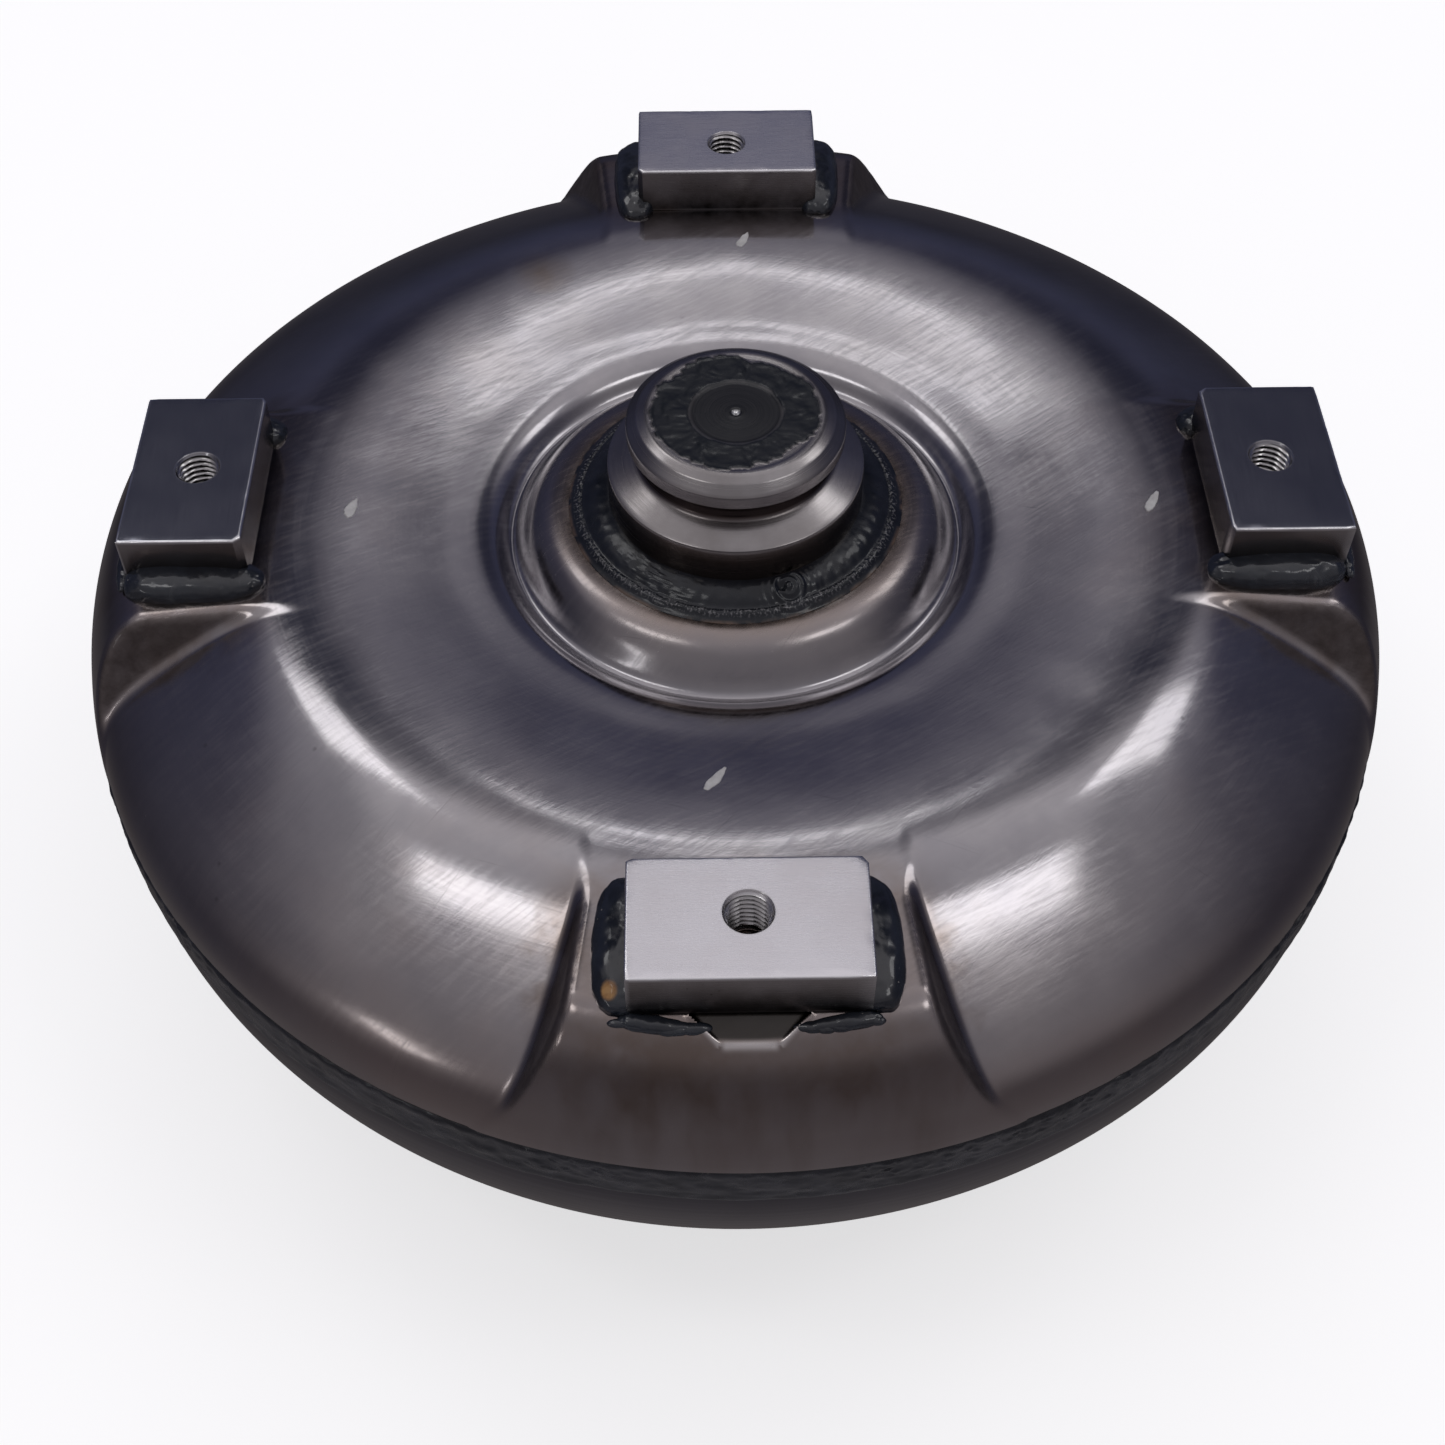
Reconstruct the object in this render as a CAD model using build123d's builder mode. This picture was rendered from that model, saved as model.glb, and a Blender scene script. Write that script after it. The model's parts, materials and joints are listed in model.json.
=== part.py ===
from build123d import *
import os
from math import cos, sin, pi, radians, degrees, sqrt, atan2, hypot

os.makedirs("parts", exist_ok=True)

# ---------------------------------------------------------------------------
# Torque converter, lock-up type, engine side up.
# Origin: centre of the flexplate bolt circle, on the lug faces. +Z points to
# the engine, along the shaft line. All dimensions in mm.
# ---------------------------------------------------------------------------

# flexplate lugs
bolt_circle_r = 125.0
lug_radial_mid = 126.1
lug_w = 48.0            # tangential
lug_l = 28.1            # radial
lug_h = 12.7
tap_drill_r = 4.25      # M10 x 1.5

# cover
cover_t = 4.5
cover_hole_r = 30.0
rim_r = 156.5
pad_z = -12.7           # raised pads under the lugs
pad_half_w = 33.0
pad_slope = 0.68        # side wall run per mm of drop

# torus
torus_mid_r = 100.0
torus_shell_z = -62.0
shell_R = 56.5          # outside of the impeller shell
shell_t = 3.5
gap_blade = 0.15        # brazing gap at the blade edges

# hub
pump_hub_r = 23.81
pump_hub_bore_r = 19.5
pump_hub_end_z = -152.0
pump_hub_top_z = -109.3

# counts
n_impeller_blades = 31
n_turbine_blades = 29
n_stator_blades = 19
n_rollers = 10
n_springs = 6

# motions
piston_stroke = 1.0
damper_twist = 8.0


def ellipse_pt(cr, cz, a, b, deg):
    t = radians(deg)
    return (cr + a * cos(t), cz + b * sin(t))


# ===========================================================================
# HOUSING
# ===========================================================================

# raised pad under one lug, outside skin (at azimuth 0)
with BuildPart() as pad_outer:
    with BuildSketch(Plane.YZ.offset(105)):
        with BuildLine():
            Polyline(
                (-pad_half_w, pad_z),
                (pad_half_w, pad_z),
                (pad_half_w + pad_slope * 34, pad_z - 34),
                (-pad_half_w - pad_slope * 34, pad_z - 34),
                close=True,
            )
        f_pad = make_face()
        fillet(f_pad.vertices().sort_by(Axis.Z)[-2:], 5)
    extrude(amount=53)
    with BuildSketch(Plane.XZ):
        with BuildLine():
            Polyline((139.0, pad_z), (88, pad_z), (88, -50), (156.5, -50), (156.5, -43))
            Spline(
                (156.5, -43), (154.6, -31.0), (151.0, -22.4), (145.8, -15.6), (139.0, pad_z),
                tangents=[(0, 1), (-1, 0.08)],
            )
        make_face()
    revolve(axis=Axis.Z, mode=Mode.INTERSECT)

# the same pad's inside skin
with BuildPart() as pad_inner:
    with BuildSketch(Plane.YZ.offset(106)):
        with BuildLine():
            Polyline(
                (-pad_half_w + 3.4, pad_z - cover_t),
                (pad_half_w - 3.4, pad_z - cover_t),
                (pad_half_w - 3.4 + pad_slope * 30, pad_z - cover_t - 30),
                (-pad_half_w + 3.4 - pad_slope * 30, pad_z - cover_t - 30),
                close=True,
            )
        f_padi = make_face()
        fillet(f_padi.vertices().sort_by(Axis.Z)[-2:], 4)
    extrude(amount=48)
    with BuildSketch(Plane.XZ):
        with BuildLine():
            Polyline((136.8, pad_z - cover_t), (88, pad_z - cover_t), (88, -50), (152.0, -50), (152.0, -44))
            Spline(
                (152.0, -44), (150.4, -33.0), (147.2, -25.4), (142.6, -19.6), (136.8, pad_z - cover_t),
                tangents=[(0, 1), (-1, 0.08)],
            )
        make_face()
    revolve(axis=Axis.Z, mode=Mode.INTERSECT)

# pressed front cover, 4.5 mm sheet: crown, trough, dished field, hump, rim
with BuildPart() as front_cover:
    with BuildSketch(Plane.XZ):
        with BuildLine():
            Line((cover_hole_r, -60), (cover_hole_r, -12.5))
            Line((cover_hole_r, -12.5), (39.8, -12.5))
            Spline((39.8, -12.5), (44.5, -13.4), (48.4, -16.4), (51.0, -19.9), (53.7, -22.0),
                   tangents=[(1, 0), (1, -0.12)])
            Spline((53.7, -22.0), (57.0, -19.4), (60.0, -17.7), (64.0, -16.95),
                   tangents=[(1, 0.25), (1, 0.12)])
            Spline((64.0, -16.95), (70.0, -16.2), (76.0, -15.3), (82.0, -14.4), (88.0, -13.55), (94.0, -12.85),
                   (103.0, -12.25), (112.0, -12.9), (120.0, -15.4), (130.0, -19.9), (140.0, -25.0), (148.0, -29.9),
                   (153.0, -34.6), (156.0, -40.5), (156.9, -46.5),
                   tangents=[(1, 0.12), (0, -1)])
            Polyline((156.9, -46.5), (rim_r, -46.6), (rim_r, -52.8), (154.9, -52.8), (154.9, -60), (cover_hole_r, -60))
        make_face()
    revolve(axis=Axis.Z)
    with PolarLocations(0, 4):
        add(pad_outer.part)
    # inside of the sheet
    with BuildSketch(Plane.XZ):
        with BuildLine():
            Line((0, -17.0), (39.4, -17.0))
            Spline((39.4, -17.0), (43.7, -18.1), (46.4, -21.3), (49.8, -24.7), (53.7, -26.5),
                   tangents=[(1, 0), (1, -0.05)])
            Spline((53.7, -26.5), (57.6, -24.8), (60.2, -22.4), (63.0, -21.6),
                   tangents=[(1, 0.05), (1, 0)])
            Line((63.0, -21.6), (82.5, -21.6))
            Spline((82.5, -21.6), (88.3, -19.6), (94.6, -18.1), (100.5, -17.0), (106.0, -16.8), (111.5, -17.5),
                   (116.9, -19.1), (122.5, -21.4), (128.1, -24.1), (133.7, -26.9), (139.1, -29.7), (144.2, -32.8),
                   (148.4, -36.2), (151.1, -40.1), (152.2, -46.0),
                   tangents=[(1, 0.3), (0, -1)])
            Polyline((152.2, -46.0), (152.6, -50.0), (154.9, -50.0), (154.9, -61), (0, -61), (0, -17.0))
        make_face()
    revolve(axis=Axis.Z, mode=Mode.SUBTRACT)
    with PolarLocations(0, 4):
        add(pad_inner.part, mode=Mode.SUBTRACT)
    # bore the pilot hub is welded into
    with BuildSketch(Plane.XY.offset(-61)):
        Circle(cover_hole_r)
    extrude(amount=62, mode=Mode.SUBTRACT)
front_cover.part.label = "front_cover"
export_step(front_cover.part, "parts/front_cover.step")

# turned pilot hub: crank land, undercut, shoulder, spigot through the cover
with BuildPart() as pilot_hub:
    with BuildSketch(Plane.XZ):
        with BuildLine():
            Polyline((0, -6), (0, 14.7), (0.9, 15.4))
            Spline((0.9, 15.4), (10, 15.35), (19.0, 15.6), tangents=[(1, -0.02), (1, 0.03)])
            Polyline((19.0, 15.6), (20.0, 15.6), (22.9, 14.5), (25.2, 12.6), (25.2, 9.3), (24.6, 8.6),
                     (22.4, 8.0), (22.4, 4.2), (23.0, 3.6), (24.5, 3.0), (29.5, 0.9), (29.9, 0.5),
                     (29.9, -17.9), (24.8, -17.9), (24.8, -23.4), (24.2, -24.0), (14.8, -24.0), (14.0, -23.2),
                     (14.0, -7.0), (0, -6))
        make_face()
    revolve(axis=Axis.Z)
pilot_hub.part.label = "pilot_hub"
export_step(pilot_hub.part, "parts/pilot_hub.step")

# weld ring round the pilot hub
with BuildPart() as pilot_hub_weld:
    with BuildSketch(Plane.XZ):
        with BuildLine():
            Line((29.9, -12.5), (29.9, -8.3))
            Spline((29.9, -8.3), (32.6, -8.8), (35.4, -10.2), (37.3, -11.1), (39.8, -12.5),
                   tangents=[(1, 0.1), (1, -1)])
            Line((39.8, -12.5), (29.9, -12.5))
        make_face()
    revolve(axis=Axis.Z)
pilot_hub_weld.part.label = "pilot_hub_weld"
export_step(pilot_hub_weld.part, "parts/pilot_hub_weld.step")

# one flexplate lug, tapped M10 (modelled at tap drill size), at azimuth 0
with BuildPart() as lug:
    with Locations((lug_radial_mid, 0, -lug_h / 2)):
        Box(lug_l, lug_w, lug_h)
    chamfer(lug.edges().filter_by(Axis.Z), 0.5)
    chamfer(lug.faces().sort_by(Axis.Z)[-1].edges(), 0.3)
    with BuildSketch(Plane.XY.offset(-lug_h)):
        with Locations((bolt_circle_r, 0)):
            Circle(tap_drill_r)
    extrude(amount=lug_h, mode=Mode.SUBTRACT)

lug_az = {"lug_right": 0, "lug_back": 90, "lug_left": 180, "lug_front": 270}
with BuildPart() as lug_right:
    add(lug.part)
lug_right.part.label = "lug_right"
export_step(lug_right.part, "parts/lug_right.step")
with BuildPart() as lug_back:
    with Locations(Rotation(0, 0, 90)):
        add(lug.part)
lug_back.part.label = "lug_back"
export_step(lug_back.part, "parts/lug_back.step")
with BuildPart() as lug_left:
    with Locations(Rotation(0, 0, 180)):
        add(lug.part)
lug_left.part.label = "lug_left"
export_step(lug_left.part, "parts/lug_left.step")
with BuildPart() as lug_front:
    with Locations(Rotation(0, 0, 270)):
        add(lug.part)
lug_front.part.label = "lug_front"
export_step(lug_front.part, "parts/lug_front.step")

# weld beads that hold each lug to its pad: one along each end, two short ones outboard
bead_r = 7.2
with BuildPart() as bead_set:
    for s in (1, -1):
        with Locations(Location((119.5, s * (lug_w / 2), pad_z), (0, 90, 0))):
            Cylinder(bead_r, 14, align=(Align.CENTER, Align.CENTER, Align.MIN))
        with Locations((119.5, s * (lug_w / 2), pad_z), (133.5, s * (lug_w / 2), pad_z)):
            Sphere(bead_r)
        with Locations(Location((140.15, s * 13, pad_z), (-90 * s, 0, 0))):
            Cylinder(3.0, 7, align=(Align.CENTER, Align.CENTER, Align.MIN))
        with Locations((140.15, s * 13, pad_z)):
            Sphere(3.0)
    # trimmed by the pad surface and by the lug itself
    with Locations((128, 0, pad_z - 10)):
        Box(60, 100, 20, mode=Mode.SUBTRACT)
    with Locations((lug_radial_mid, 0, 0)):
        Box(lug_l, lug_w, 60, mode=Mode.SUBTRACT)
with BuildPart() as lug_welds:
    with PolarLocations(0, 4):
        add(bead_set.part)
lug_welds.part.label = "lug_welds"
export_step(lug_welds.part, "parts/lug_welds.step")

# closing weld between cover and impeller shell
with BuildPart() as girth_weld:
    with BuildSketch(Plane.XZ):
        with BuildLine():
            Polyline((rim_r, -59.6), (rim_r, -46.8), (157.1, -46.9), (157.64, -48.6), (157.64, -57.4), (157.1, -59.2), (rim_r, -59.6))
        make_face()
    revolve(axis=Axis.Z)
girth_weld.part.label = "girth_weld"
export_step(girth_weld.part, "parts/girth_weld.step")

# impeller (pump) shell
so = shell_R
si = shell_R - shell_t
leg = 125
o_leg = (torus_mid_r + so * cos(radians(leg)), torus_shell_z - so * sin(radians(leg)))
i_leg = (torus_mid_r + si * cos(radians(leg)), torus_shell_z - si * sin(radians(leg)))
leg_run = 1 / (cos(radians(leg - 90)) and (sin(radians(leg - 90)) / cos(radians(leg - 90))))
o_flat = (o_leg[0] - (-101.0 - o_leg[1]) * leg_run, -101.0)
i_flat = (i_leg[0] - (-97.5 - i_leg[1]) * leg_run, -97.5)
with BuildPart() as impeller_shell:
    with BuildSketch(Plane.XZ):
        with BuildLine():
            Polyline((154.8, -53.0), (rim_r, -53.0), (rim_r, torus_shell_z))
            ThreePointArc((rim_r, torus_shell_z),
                          (torus_mid_r + so * cos(radians(60)), torus_shell_z - so * sin(radians(60))), o_leg)
            Polyline(o_leg, o_flat, (39.9, -101.0), (39.9, -97.5), i_flat, i_leg)
            ThreePointArc(i_leg,
                          (torus_mid_r + si * cos(radians(60)), torus_shell_z - si * sin(radians(60))),
                          (torus_mid_r + si, torus_shell_z))
            Polyline((torus_mid_r + si, torus_shell_z), (153.0, -50.2), (154.8, -50.2), (154.8, -53.0))
        make_face()
    revolve(axis=Axis.Z)
impeller_shell.part.label = "impeller_shell"
export_step(impeller_shell.part, "parts/impeller_shell.step")

# impeller core ring (half torus skin)
core_r, core_a, core_b = 107.0, 19.5, 14.5
core_R = (core_a**2 + core_b**2) / (2 * core_b)    # radius of the core ring's section
imp_top_z = -76.5
imp_core_z = imp_top_z - core_b + core_R           # centre of that arc


def core_pt(cz, side, r=None, z=None, g=gap_blade):
    """point on the core ring's outside arc, grown by g; side is -1 below the centre, +1 above"""
    R = core_R + g
    if r is not None:
        return (r, cz + side * sqrt(R**2 - (r - core_r) ** 2))
    return (core_r + sqrt(R**2 - (z - cz) ** 2), z)


with BuildPart() as impeller_core_ring:
    with BuildSketch(Plane.XZ):
        with BuildLine():
            ThreePointArc((core_r - core_a, imp_top_z), (core_r, imp_top_z - core_b), (core_r + core_a, imp_top_z))
            Line((core_r + core_a, imp_top_z), (core_r + core_a - 1.2, imp_top_z))
            ThreePointArc((core_r + core_a - 1.2, imp_top_z), (core_r, imp_top_z - core_b + 1.2), (core_r - core_a + 1.2, imp_top_z))
            Line((core_r - core_a + 1.2, imp_top_z), (core_r - core_a, imp_top_z))
        make_face()
    revolve(axis=Axis.Z)
impeller_core_ring.part.label = "impeller_core_ring"
export_step(impeller_core_ring.part, "parts/impeller_core_ring.step")

# one impeller blade: curved sheet trimmed to the passage between shell and core ring
sb = si - gap_blade
b_leg = (torus_mid_r + sb * cos(radians(leg)), torus_shell_z - sb * sin(radians(leg)))
b_out = (torus_mid_r + sqrt(sb**2 - (imp_top_z - 0.2 - torus_shell_z) ** 2), imp_top_z - 0.2)
with BuildPart() as impeller_blade:
    with BuildSketch(Plane.XY.offset(-120)):
        with BuildLine():
            ThreePointArc((60, 1.0), (104, -4.2), (153, -21))
            Line((153, -21), (153.4, -19.9))
            ThreePointArc((153.4, -19.9), (104.3, -3.2), (60, 2.0))
            Line((60, 2.0), (60, 1.0))
        make_face()
    extrude(amount=46)
    with BuildSketch(Plane.XZ):
        with BuildLine():
            Line(core_pt(imp_core_z, -1, z=imp_top_z - 0.2), b_out)
            ThreePointArc(b_out, (torus_mid_r + sb * cos(radians(70)), torus_shell_z - sb * sin(radians(70))), b_leg)
            Polyline(b_leg, (63.0, -100.6), core_pt(imp_core_z, -1, r=90.6))
            ThreePointArc(core_pt(imp_core_z, -1, r=90.6), core_pt(imp_core_z, -1, r=core_r), core_pt(imp_core_z, -1, z=imp_top_z - 0.2))
        make_face()
    revolve(axis=Axis.Z, mode=Mode.INTERSECT)
with BuildPart() as impeller_blades:
    with PolarLocations(0, n_impeller_blades):
        add(impeller_blade.part)
impeller_blades.part.label = "impeller_blades"
export_step(impeller_blades.part, "parts/impeller_blades.step")

# pump drive hub with its two drive slots
with BuildPart() as impeller_hub:
    with BuildSketch(Plane.XZ):
        with BuildLine():
            Polyline((pump_hub_bore_r, pump_hub_top_z), (pump_hub_r, pump_hub_top_z), (pump_hub_r, pump_hub_end_z + 1.2),
                     (pump_hub_r - 1.2, pump_hub_end_z), (pump_hub_bore_r + 0.8, pump_hub_end_z),
                     (pump_hub_bore_r, pump_hub_end_z + 0.8), (pump_hub_bore_r, pump_hub_top_z))
        make_face()
    revolve(axis=Axis.Z)
    with BuildSketch(Plane.XY.offset(pump_hub_end_z)):
        Rectangle(9.6, 60)
    extrude(amount=10, mode=Mode.SUBTRACT)
impeller_hub.part.label = "impeller_hub"
export_step(impeller_hub.part, "parts/impeller_hub.step")

# flange that carries the pump hub in the impeller shell
with BuildPart() as impeller_hub_flange:
    with BuildSketch(Plane.XZ):
        with BuildLine():
            Polyline((pump_hub_bore_r, -94.3), (20.3, -93.5), (46.0, -93.5), (46.0, -97.45), (39.85, -97.45), (39.85, -101.6),
                     (36.0, -103.2), (28.5, -104.6))
            ThreePointArc((28.5, -104.6), (25.2, -106.0), (pump_hub_r, pump_hub_top_z))
            Polyline((pump_hub_r, pump_hub_top_z), (pump_hub_bore_r, pump_hub_top_z), (pump_hub_bore_r, -94.3))
        make_face()
    revolve(axis=Axis.Z)
impeller_hub_flange.part.label = "impeller_hub_flange"
export_step(impeller_hub_flange.part, "parts/impeller_hub_flange.step")

# weld between pump hub and impeller shell
with BuildPart() as impeller_hub_weld:
    with BuildSketch(Plane.XZ):
        with BuildLine():
            Polyline((39.9, -101.05), (46.2, -101.05))
            Spline((46.2, -101.05), (44.0, -102.6), (41.2, -103.3), (38.2, -103.2), tangents=[(-0.6, -1), (-1, 0.35)])
            Polyline((38.2, -103.2), (39.9, -101.8), (39.9, -101.05))
        make_face()
    revolve(axis=Axis.Z)
impeller_hub_weld.part.label = "impeller_hub_weld"
export_step(impeller_hub_weld.part, "parts/impeller_hub_weld.step")

# rear thrust race, seated on the pump hub
with BuildPart() as rear_race_hub:
    with BuildSketch(Plane.XY.offset(-93.5)):
        Circle(42.0)
        Circle(30.5, mode=Mode.SUBTRACT)
    extrude(amount=1.2)
rear_race_hub.part.label = "rear_race_hub"
export_step(rear_race_hub.part, "parts/rear_race_hub.step")

# ===========================================================================
# TURBINE
# ===========================================================================
tz = -74.3
ta, tb = 50.3, 36.3
tt = 1.8


def up(a, b, deg):
    return ellipse_pt(torus_mid_r, tz, a, b, deg)


with BuildPart() as turbine_shell:
    with BuildSketch(Plane.XZ):
        with BuildLine():
            e_out = EllipticalCenterArc((torus_mid_r, tz), ta, tb, start_angle=0, arc_size=141)
            Polyline(up(ta, tb, 141), (56.6, -55.0), (30.0, -55.0), (30.0, -56.8), (57.4, -56.8), up(ta - tt, tb - tt, 141))
            e_in = EllipticalCenterArc((torus_mid_r, tz), ta - tt, tb - tt, start_angle=0, arc_size=141)
            Line(up(ta - tt, tb - tt, 0), up(ta, tb, 0))
        make_face()
    revolve(axis=Axis.Z)
    with BuildSketch(Plane.XY.offset(-60)):
        with PolarLocations(49.8, 12):
            Circle(2.5)
    extrude(amount=8, mode=Mode.SUBTRACT)
turbine_shell.part.label = "turbine_shell"
export_step(turbine_shell.part, "parts/turbine_shell.step")

tur_z = -74.7
with BuildPart() as turbine_core_ring:
    with BuildSketch(Plane.XZ):
        with BuildLine():
            ThreePointArc((core_r - core_a, tur_z), (core_r, tur_z + core_b), (core_r + core_a, tur_z))
            Line((core_r + core_a, tur_z), (core_r + core_a - 1.2, tur_z))
            ThreePointArc((core_r + core_a - 1.2, tur_z), (core_r, tur_z + core_b - 1.2), (core_r - core_a + 1.2, tur_z))
            Line((core_r - core_a + 1.2, tur_z), (core_r - core_a, tur_z))
        make_face()
    revolve(axis=Axis.Z)
turbine_core_ring.part.label = "turbine_core_ring"
export_step(turbine_core_ring.part, "parts/turbine_core_ring.step")

# one turbine blade, strongly cupped sheet trimmed to the turbine passage
tia, tib = ta - tt - gap_blade, tb - tt - gap_blade
tur_core_z = tur_z + core_b - core_R
with BuildPart() as turbine_blade:
    with BuildSketch(Plane.XY.offset(-78)):
        with BuildLine():
            ThreePointArc((60, 14.0), (106, -2.0), (150, 16.0))
            Line((150, 16.0), (150, 17.1))
            ThreePointArc((150, 17.1), (106, -1.0), (60, 15.1))
            Line((60, 15.1), (60, 14.0))
        make_face()
    extrude(amount=44)
    with BuildSketch(Plane.XZ):
        with BuildLine():
            Line(core_pt(tur_core_z, 1, z=tur_z + 0.2), up(tia, tib, 1))
            EllipticalCenterArc((torus_mid_r, tz), tia, tib, start_angle=1, arc_size=138)
            Line(up(tia, tib, 139), core_pt(tur_core_z, 1, r=90.6))
            ThreePointArc(core_pt(tur_core_z, 1, r=90.6), core_pt(tur_core_z, 1, r=core_r), core_pt(tur_core_z, 1, z=tur_z + 0.2))
        make_face()
    revolve(axis=Axis.Z, mode=Mode.INTERSECT)
with BuildPart() as turbine_blades:
    with PolarLocations(0, n_turbine_blades):
        add(turbine_blade.part)
turbine_blades.part.label = "turbine_blades"
export_step(turbine_blades.part, "parts/turbine_blades.step")

# turbine hub: bore splined for the input shaft, sleeve for the piston, splined collar, flange
with BuildPart() as turbine_hub:
    with BuildSketch(Plane.XZ):
        with BuildLine():
            Polyline((13.0, -58.5), (13.0, -27.6), (13.6, -27.0), (25.4, -27.0), (26.0, -27.6), (26.0, -33.0), (23.4, -33.0),
                     (23.4, -35.2), (26.0, -35.2), (26.0, -41.5), (34.0, -41.5), (34.0, -49.5), (54.0, -49.5), (54.0, -55.0),
                     (29.8, -55.0), (29.8, -58.5), (13.0, -58.5))
        make_face()
    revolve(axis=Axis.Z)
    # outer spline teeth that carry the damper hub
    with BuildSketch(Plane.XY.offset(-49.6)):
        with PolarLocations(34.5, 24):
            Rectangle(3.0, 3.2)
    extrude(amount=8.1)
    # inner spline grooves for the input shaft
    with BuildSketch(Plane.XY.offset(-60)):
        with PolarLocations(13.0, 30):
            Rectangle(2.4, 1.3)
    extrude(amount=40, mode=Mode.SUBTRACT)
    with BuildSketch(Plane.XY.offset(-56)):
        with PolarLocations(49.8, 12):
            Circle(2.5)
    extrude(amount=8, mode=Mode.SUBTRACT)
turbine_hub.part.label = "turbine_hub"
export_step(turbine_hub.part, "parts/turbine_hub.step")

with BuildPart() as turbine_rivet:
    with BuildSketch(Plane.XZ.offset(0)):
        with BuildLine():
            Polyline((0, -58.2), (3.2, -58.2), (4.0, -57.6), (4.0, -56.8), (2.48, -56.8), (2.48, -49.5), (4.0, -49.5),
                     (4.0, -48.7), (3.2, -48.1), (0, -48.1), (0, -58.2))
        make_face()
    revolve(axis=Axis.Z)
with BuildPart() as turbine_rivets:
    with PolarLocations(49.8, 12):
        add(turbine_rivet.part)
turbine_rivets.part.label = "turbine_rivets"
export_step(turbine_rivets.part, "parts/turbine_rivets.step")

with BuildPart() as front_thrust_washer:
    with BuildSketch(Plane.XY.offset(-27.0)):
        Circle(24.4)
        Circle(15.0, mode=Mode.SUBTRACT)
    extrude(amount=2.6)
    with BuildSketch(Plane.XY.offset(-24.9)):
        with PolarLocations(19.7, 4):
            Rectangle(14, 3)
    extrude(amount=2, mode=Mode.SUBTRACT)
front_thrust_washer.part.label = "front_thrust_washer"
export_step(front_thrust_washer.part, "parts/front_thrust_washer.step")

with BuildPart() as piston_seal_ring:
    with BuildSketch(Plane.XY.offset(-35.0)):
        Circle(26.0)
        Circle(23.6, mode=Mode.SUBTRACT)
    extrude(amount=1.8)
    with Locations((24.8, 0, -34.1)):
        Box(4, 0.3, 3, mode=Mode.SUBTRACT)
piston_seal_ring.part.label = "piston_seal_ring"
export_step(piston_seal_ring.part, "parts/piston_seal_ring.step")

with BuildPart() as mid_race_turbine:
    with BuildSketch(Plane.XY.offset(-59.7)):
        Circle(29.6)
        Circle(20.5, mode=Mode.SUBTRACT)
    extrude(amount=1.2)
mid_race_turbine.part.label = "mid_race_turbine"
export_step(mid_race_turbine.part, "parts/mid_race_turbine.step")

# ===========================================================================
# LOCK-UP CLUTCH AND DAMPER
# ===========================================================================
# damper hub, slides on the turbine hub's outer spline
with BuildPart() as damper_hub:
    with BuildSketch(Plane.XY.offset(-48.3)):
        Circle(45.6)
        Circle(34.3, mode=Mode.SUBTRACT)
        with PolarLocations(35.2, 24):
            Rectangle(2.6, 3.8, mode=Mode.SUBTRACT)
        with PolarLocations(41.2, 8):
            Circle(2.5, mode=Mode.SUBTRACT)
    extrude(amount=4.8)
damper_hub.part.label = "damper_hub"
export_step(damper_hub.part, "parts/damper_hub.step")

spring_r, spring_z, spring_len = 100.0, -30.25, 50.0
spring_od_r, wire_r, spring_pitch = 5.6, 1.15, 4.4
with BuildPart() as damper_driven_plate:
    with BuildSketch(Plane.XZ):
        with BuildLine():
            Polyline((37.2, -43.5), (37.2, -41.0), (50.5, -41.0), (71.5, -29.0), (110.0, -29.0), (110.0, -31.5),
                     (72.2, -31.5), (51.2, -43.5), (37.2, -43.5))
        make_face()
    revolve(axis=Axis.Z)
    with BuildSketch(Plane.XY.offset(-35)):
        with PolarLocations(spring_r, n_springs, start_angle=30):
            Rectangle(12.6, spring_len + 1.0)
    extrude(amount=8, mode=Mode.SUBTRACT)
    with BuildSketch(Plane.XY.offset(-45)):
        with PolarLocations(41.2, 8):
            Circle(2.5)
    extrude(amount=5, mode=Mode.SUBTRACT)
    # lightening holes
    with BuildSketch(Plane.XY.offset(-45)):
        with PolarLocations(62, 6):
            Circle(4)
    extrude(amount=20, mode=Mode.SUBTRACT)
damper_driven_plate.part.label = "damper_driven_plate"
export_step(damper_driven_plate.part, "parts/damper_driven_plate.step")

with BuildPart() as damper_hub_rivet:
    with BuildSketch(Plane.XZ):
        with BuildLine():
            Polyline((0, -48.3), (2.48, -48.3), (2.48, -41.0), (3.9, -41.0), (3.9, -40.3), (3.1, -39.7), (0, -39.7), (0, -48.3))
        make_face()
    revolve(axis=Axis.Z)
with BuildPart() as damper_hub_rivets:
    with PolarLocations(41.2, 8):
        add(damper_hub_rivet.part)
damper_hub_rivets.part.label = "damper_hub_rivets"
export_step(damper_hub_rivets.part, "parts/damper_hub_rivets.step")

# lock-up piston
with BuildPart() as lockup_piston:
    with BuildSketch(Plane.XZ):
        with BuildLine():
            Polyline((26.05, -40.2), (26.05, -28.9), (26.5, -28.5), (55.5, -28.5), (62.0, -23.9), (90.0, -23.9),
                     (90.0, -26.7), (63.2, -26.7), (56.7, -31.3), (29.5, -31.3), (29.5, -40.2), (26.05, -40.2))
        make_face()
    revolve(axis=Axis.Z)
    with BuildSketch(Plane.XY.offset(-28)):
        with PolarLocations(87.0, 12):
            Circle(2.0)
    extrude(amount=6, mode=Mode.SUBTRACT)
lockup_piston.part.label = "lockup_piston"
export_step(lockup_piston.part, "parts/lockup_piston.step")

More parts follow.
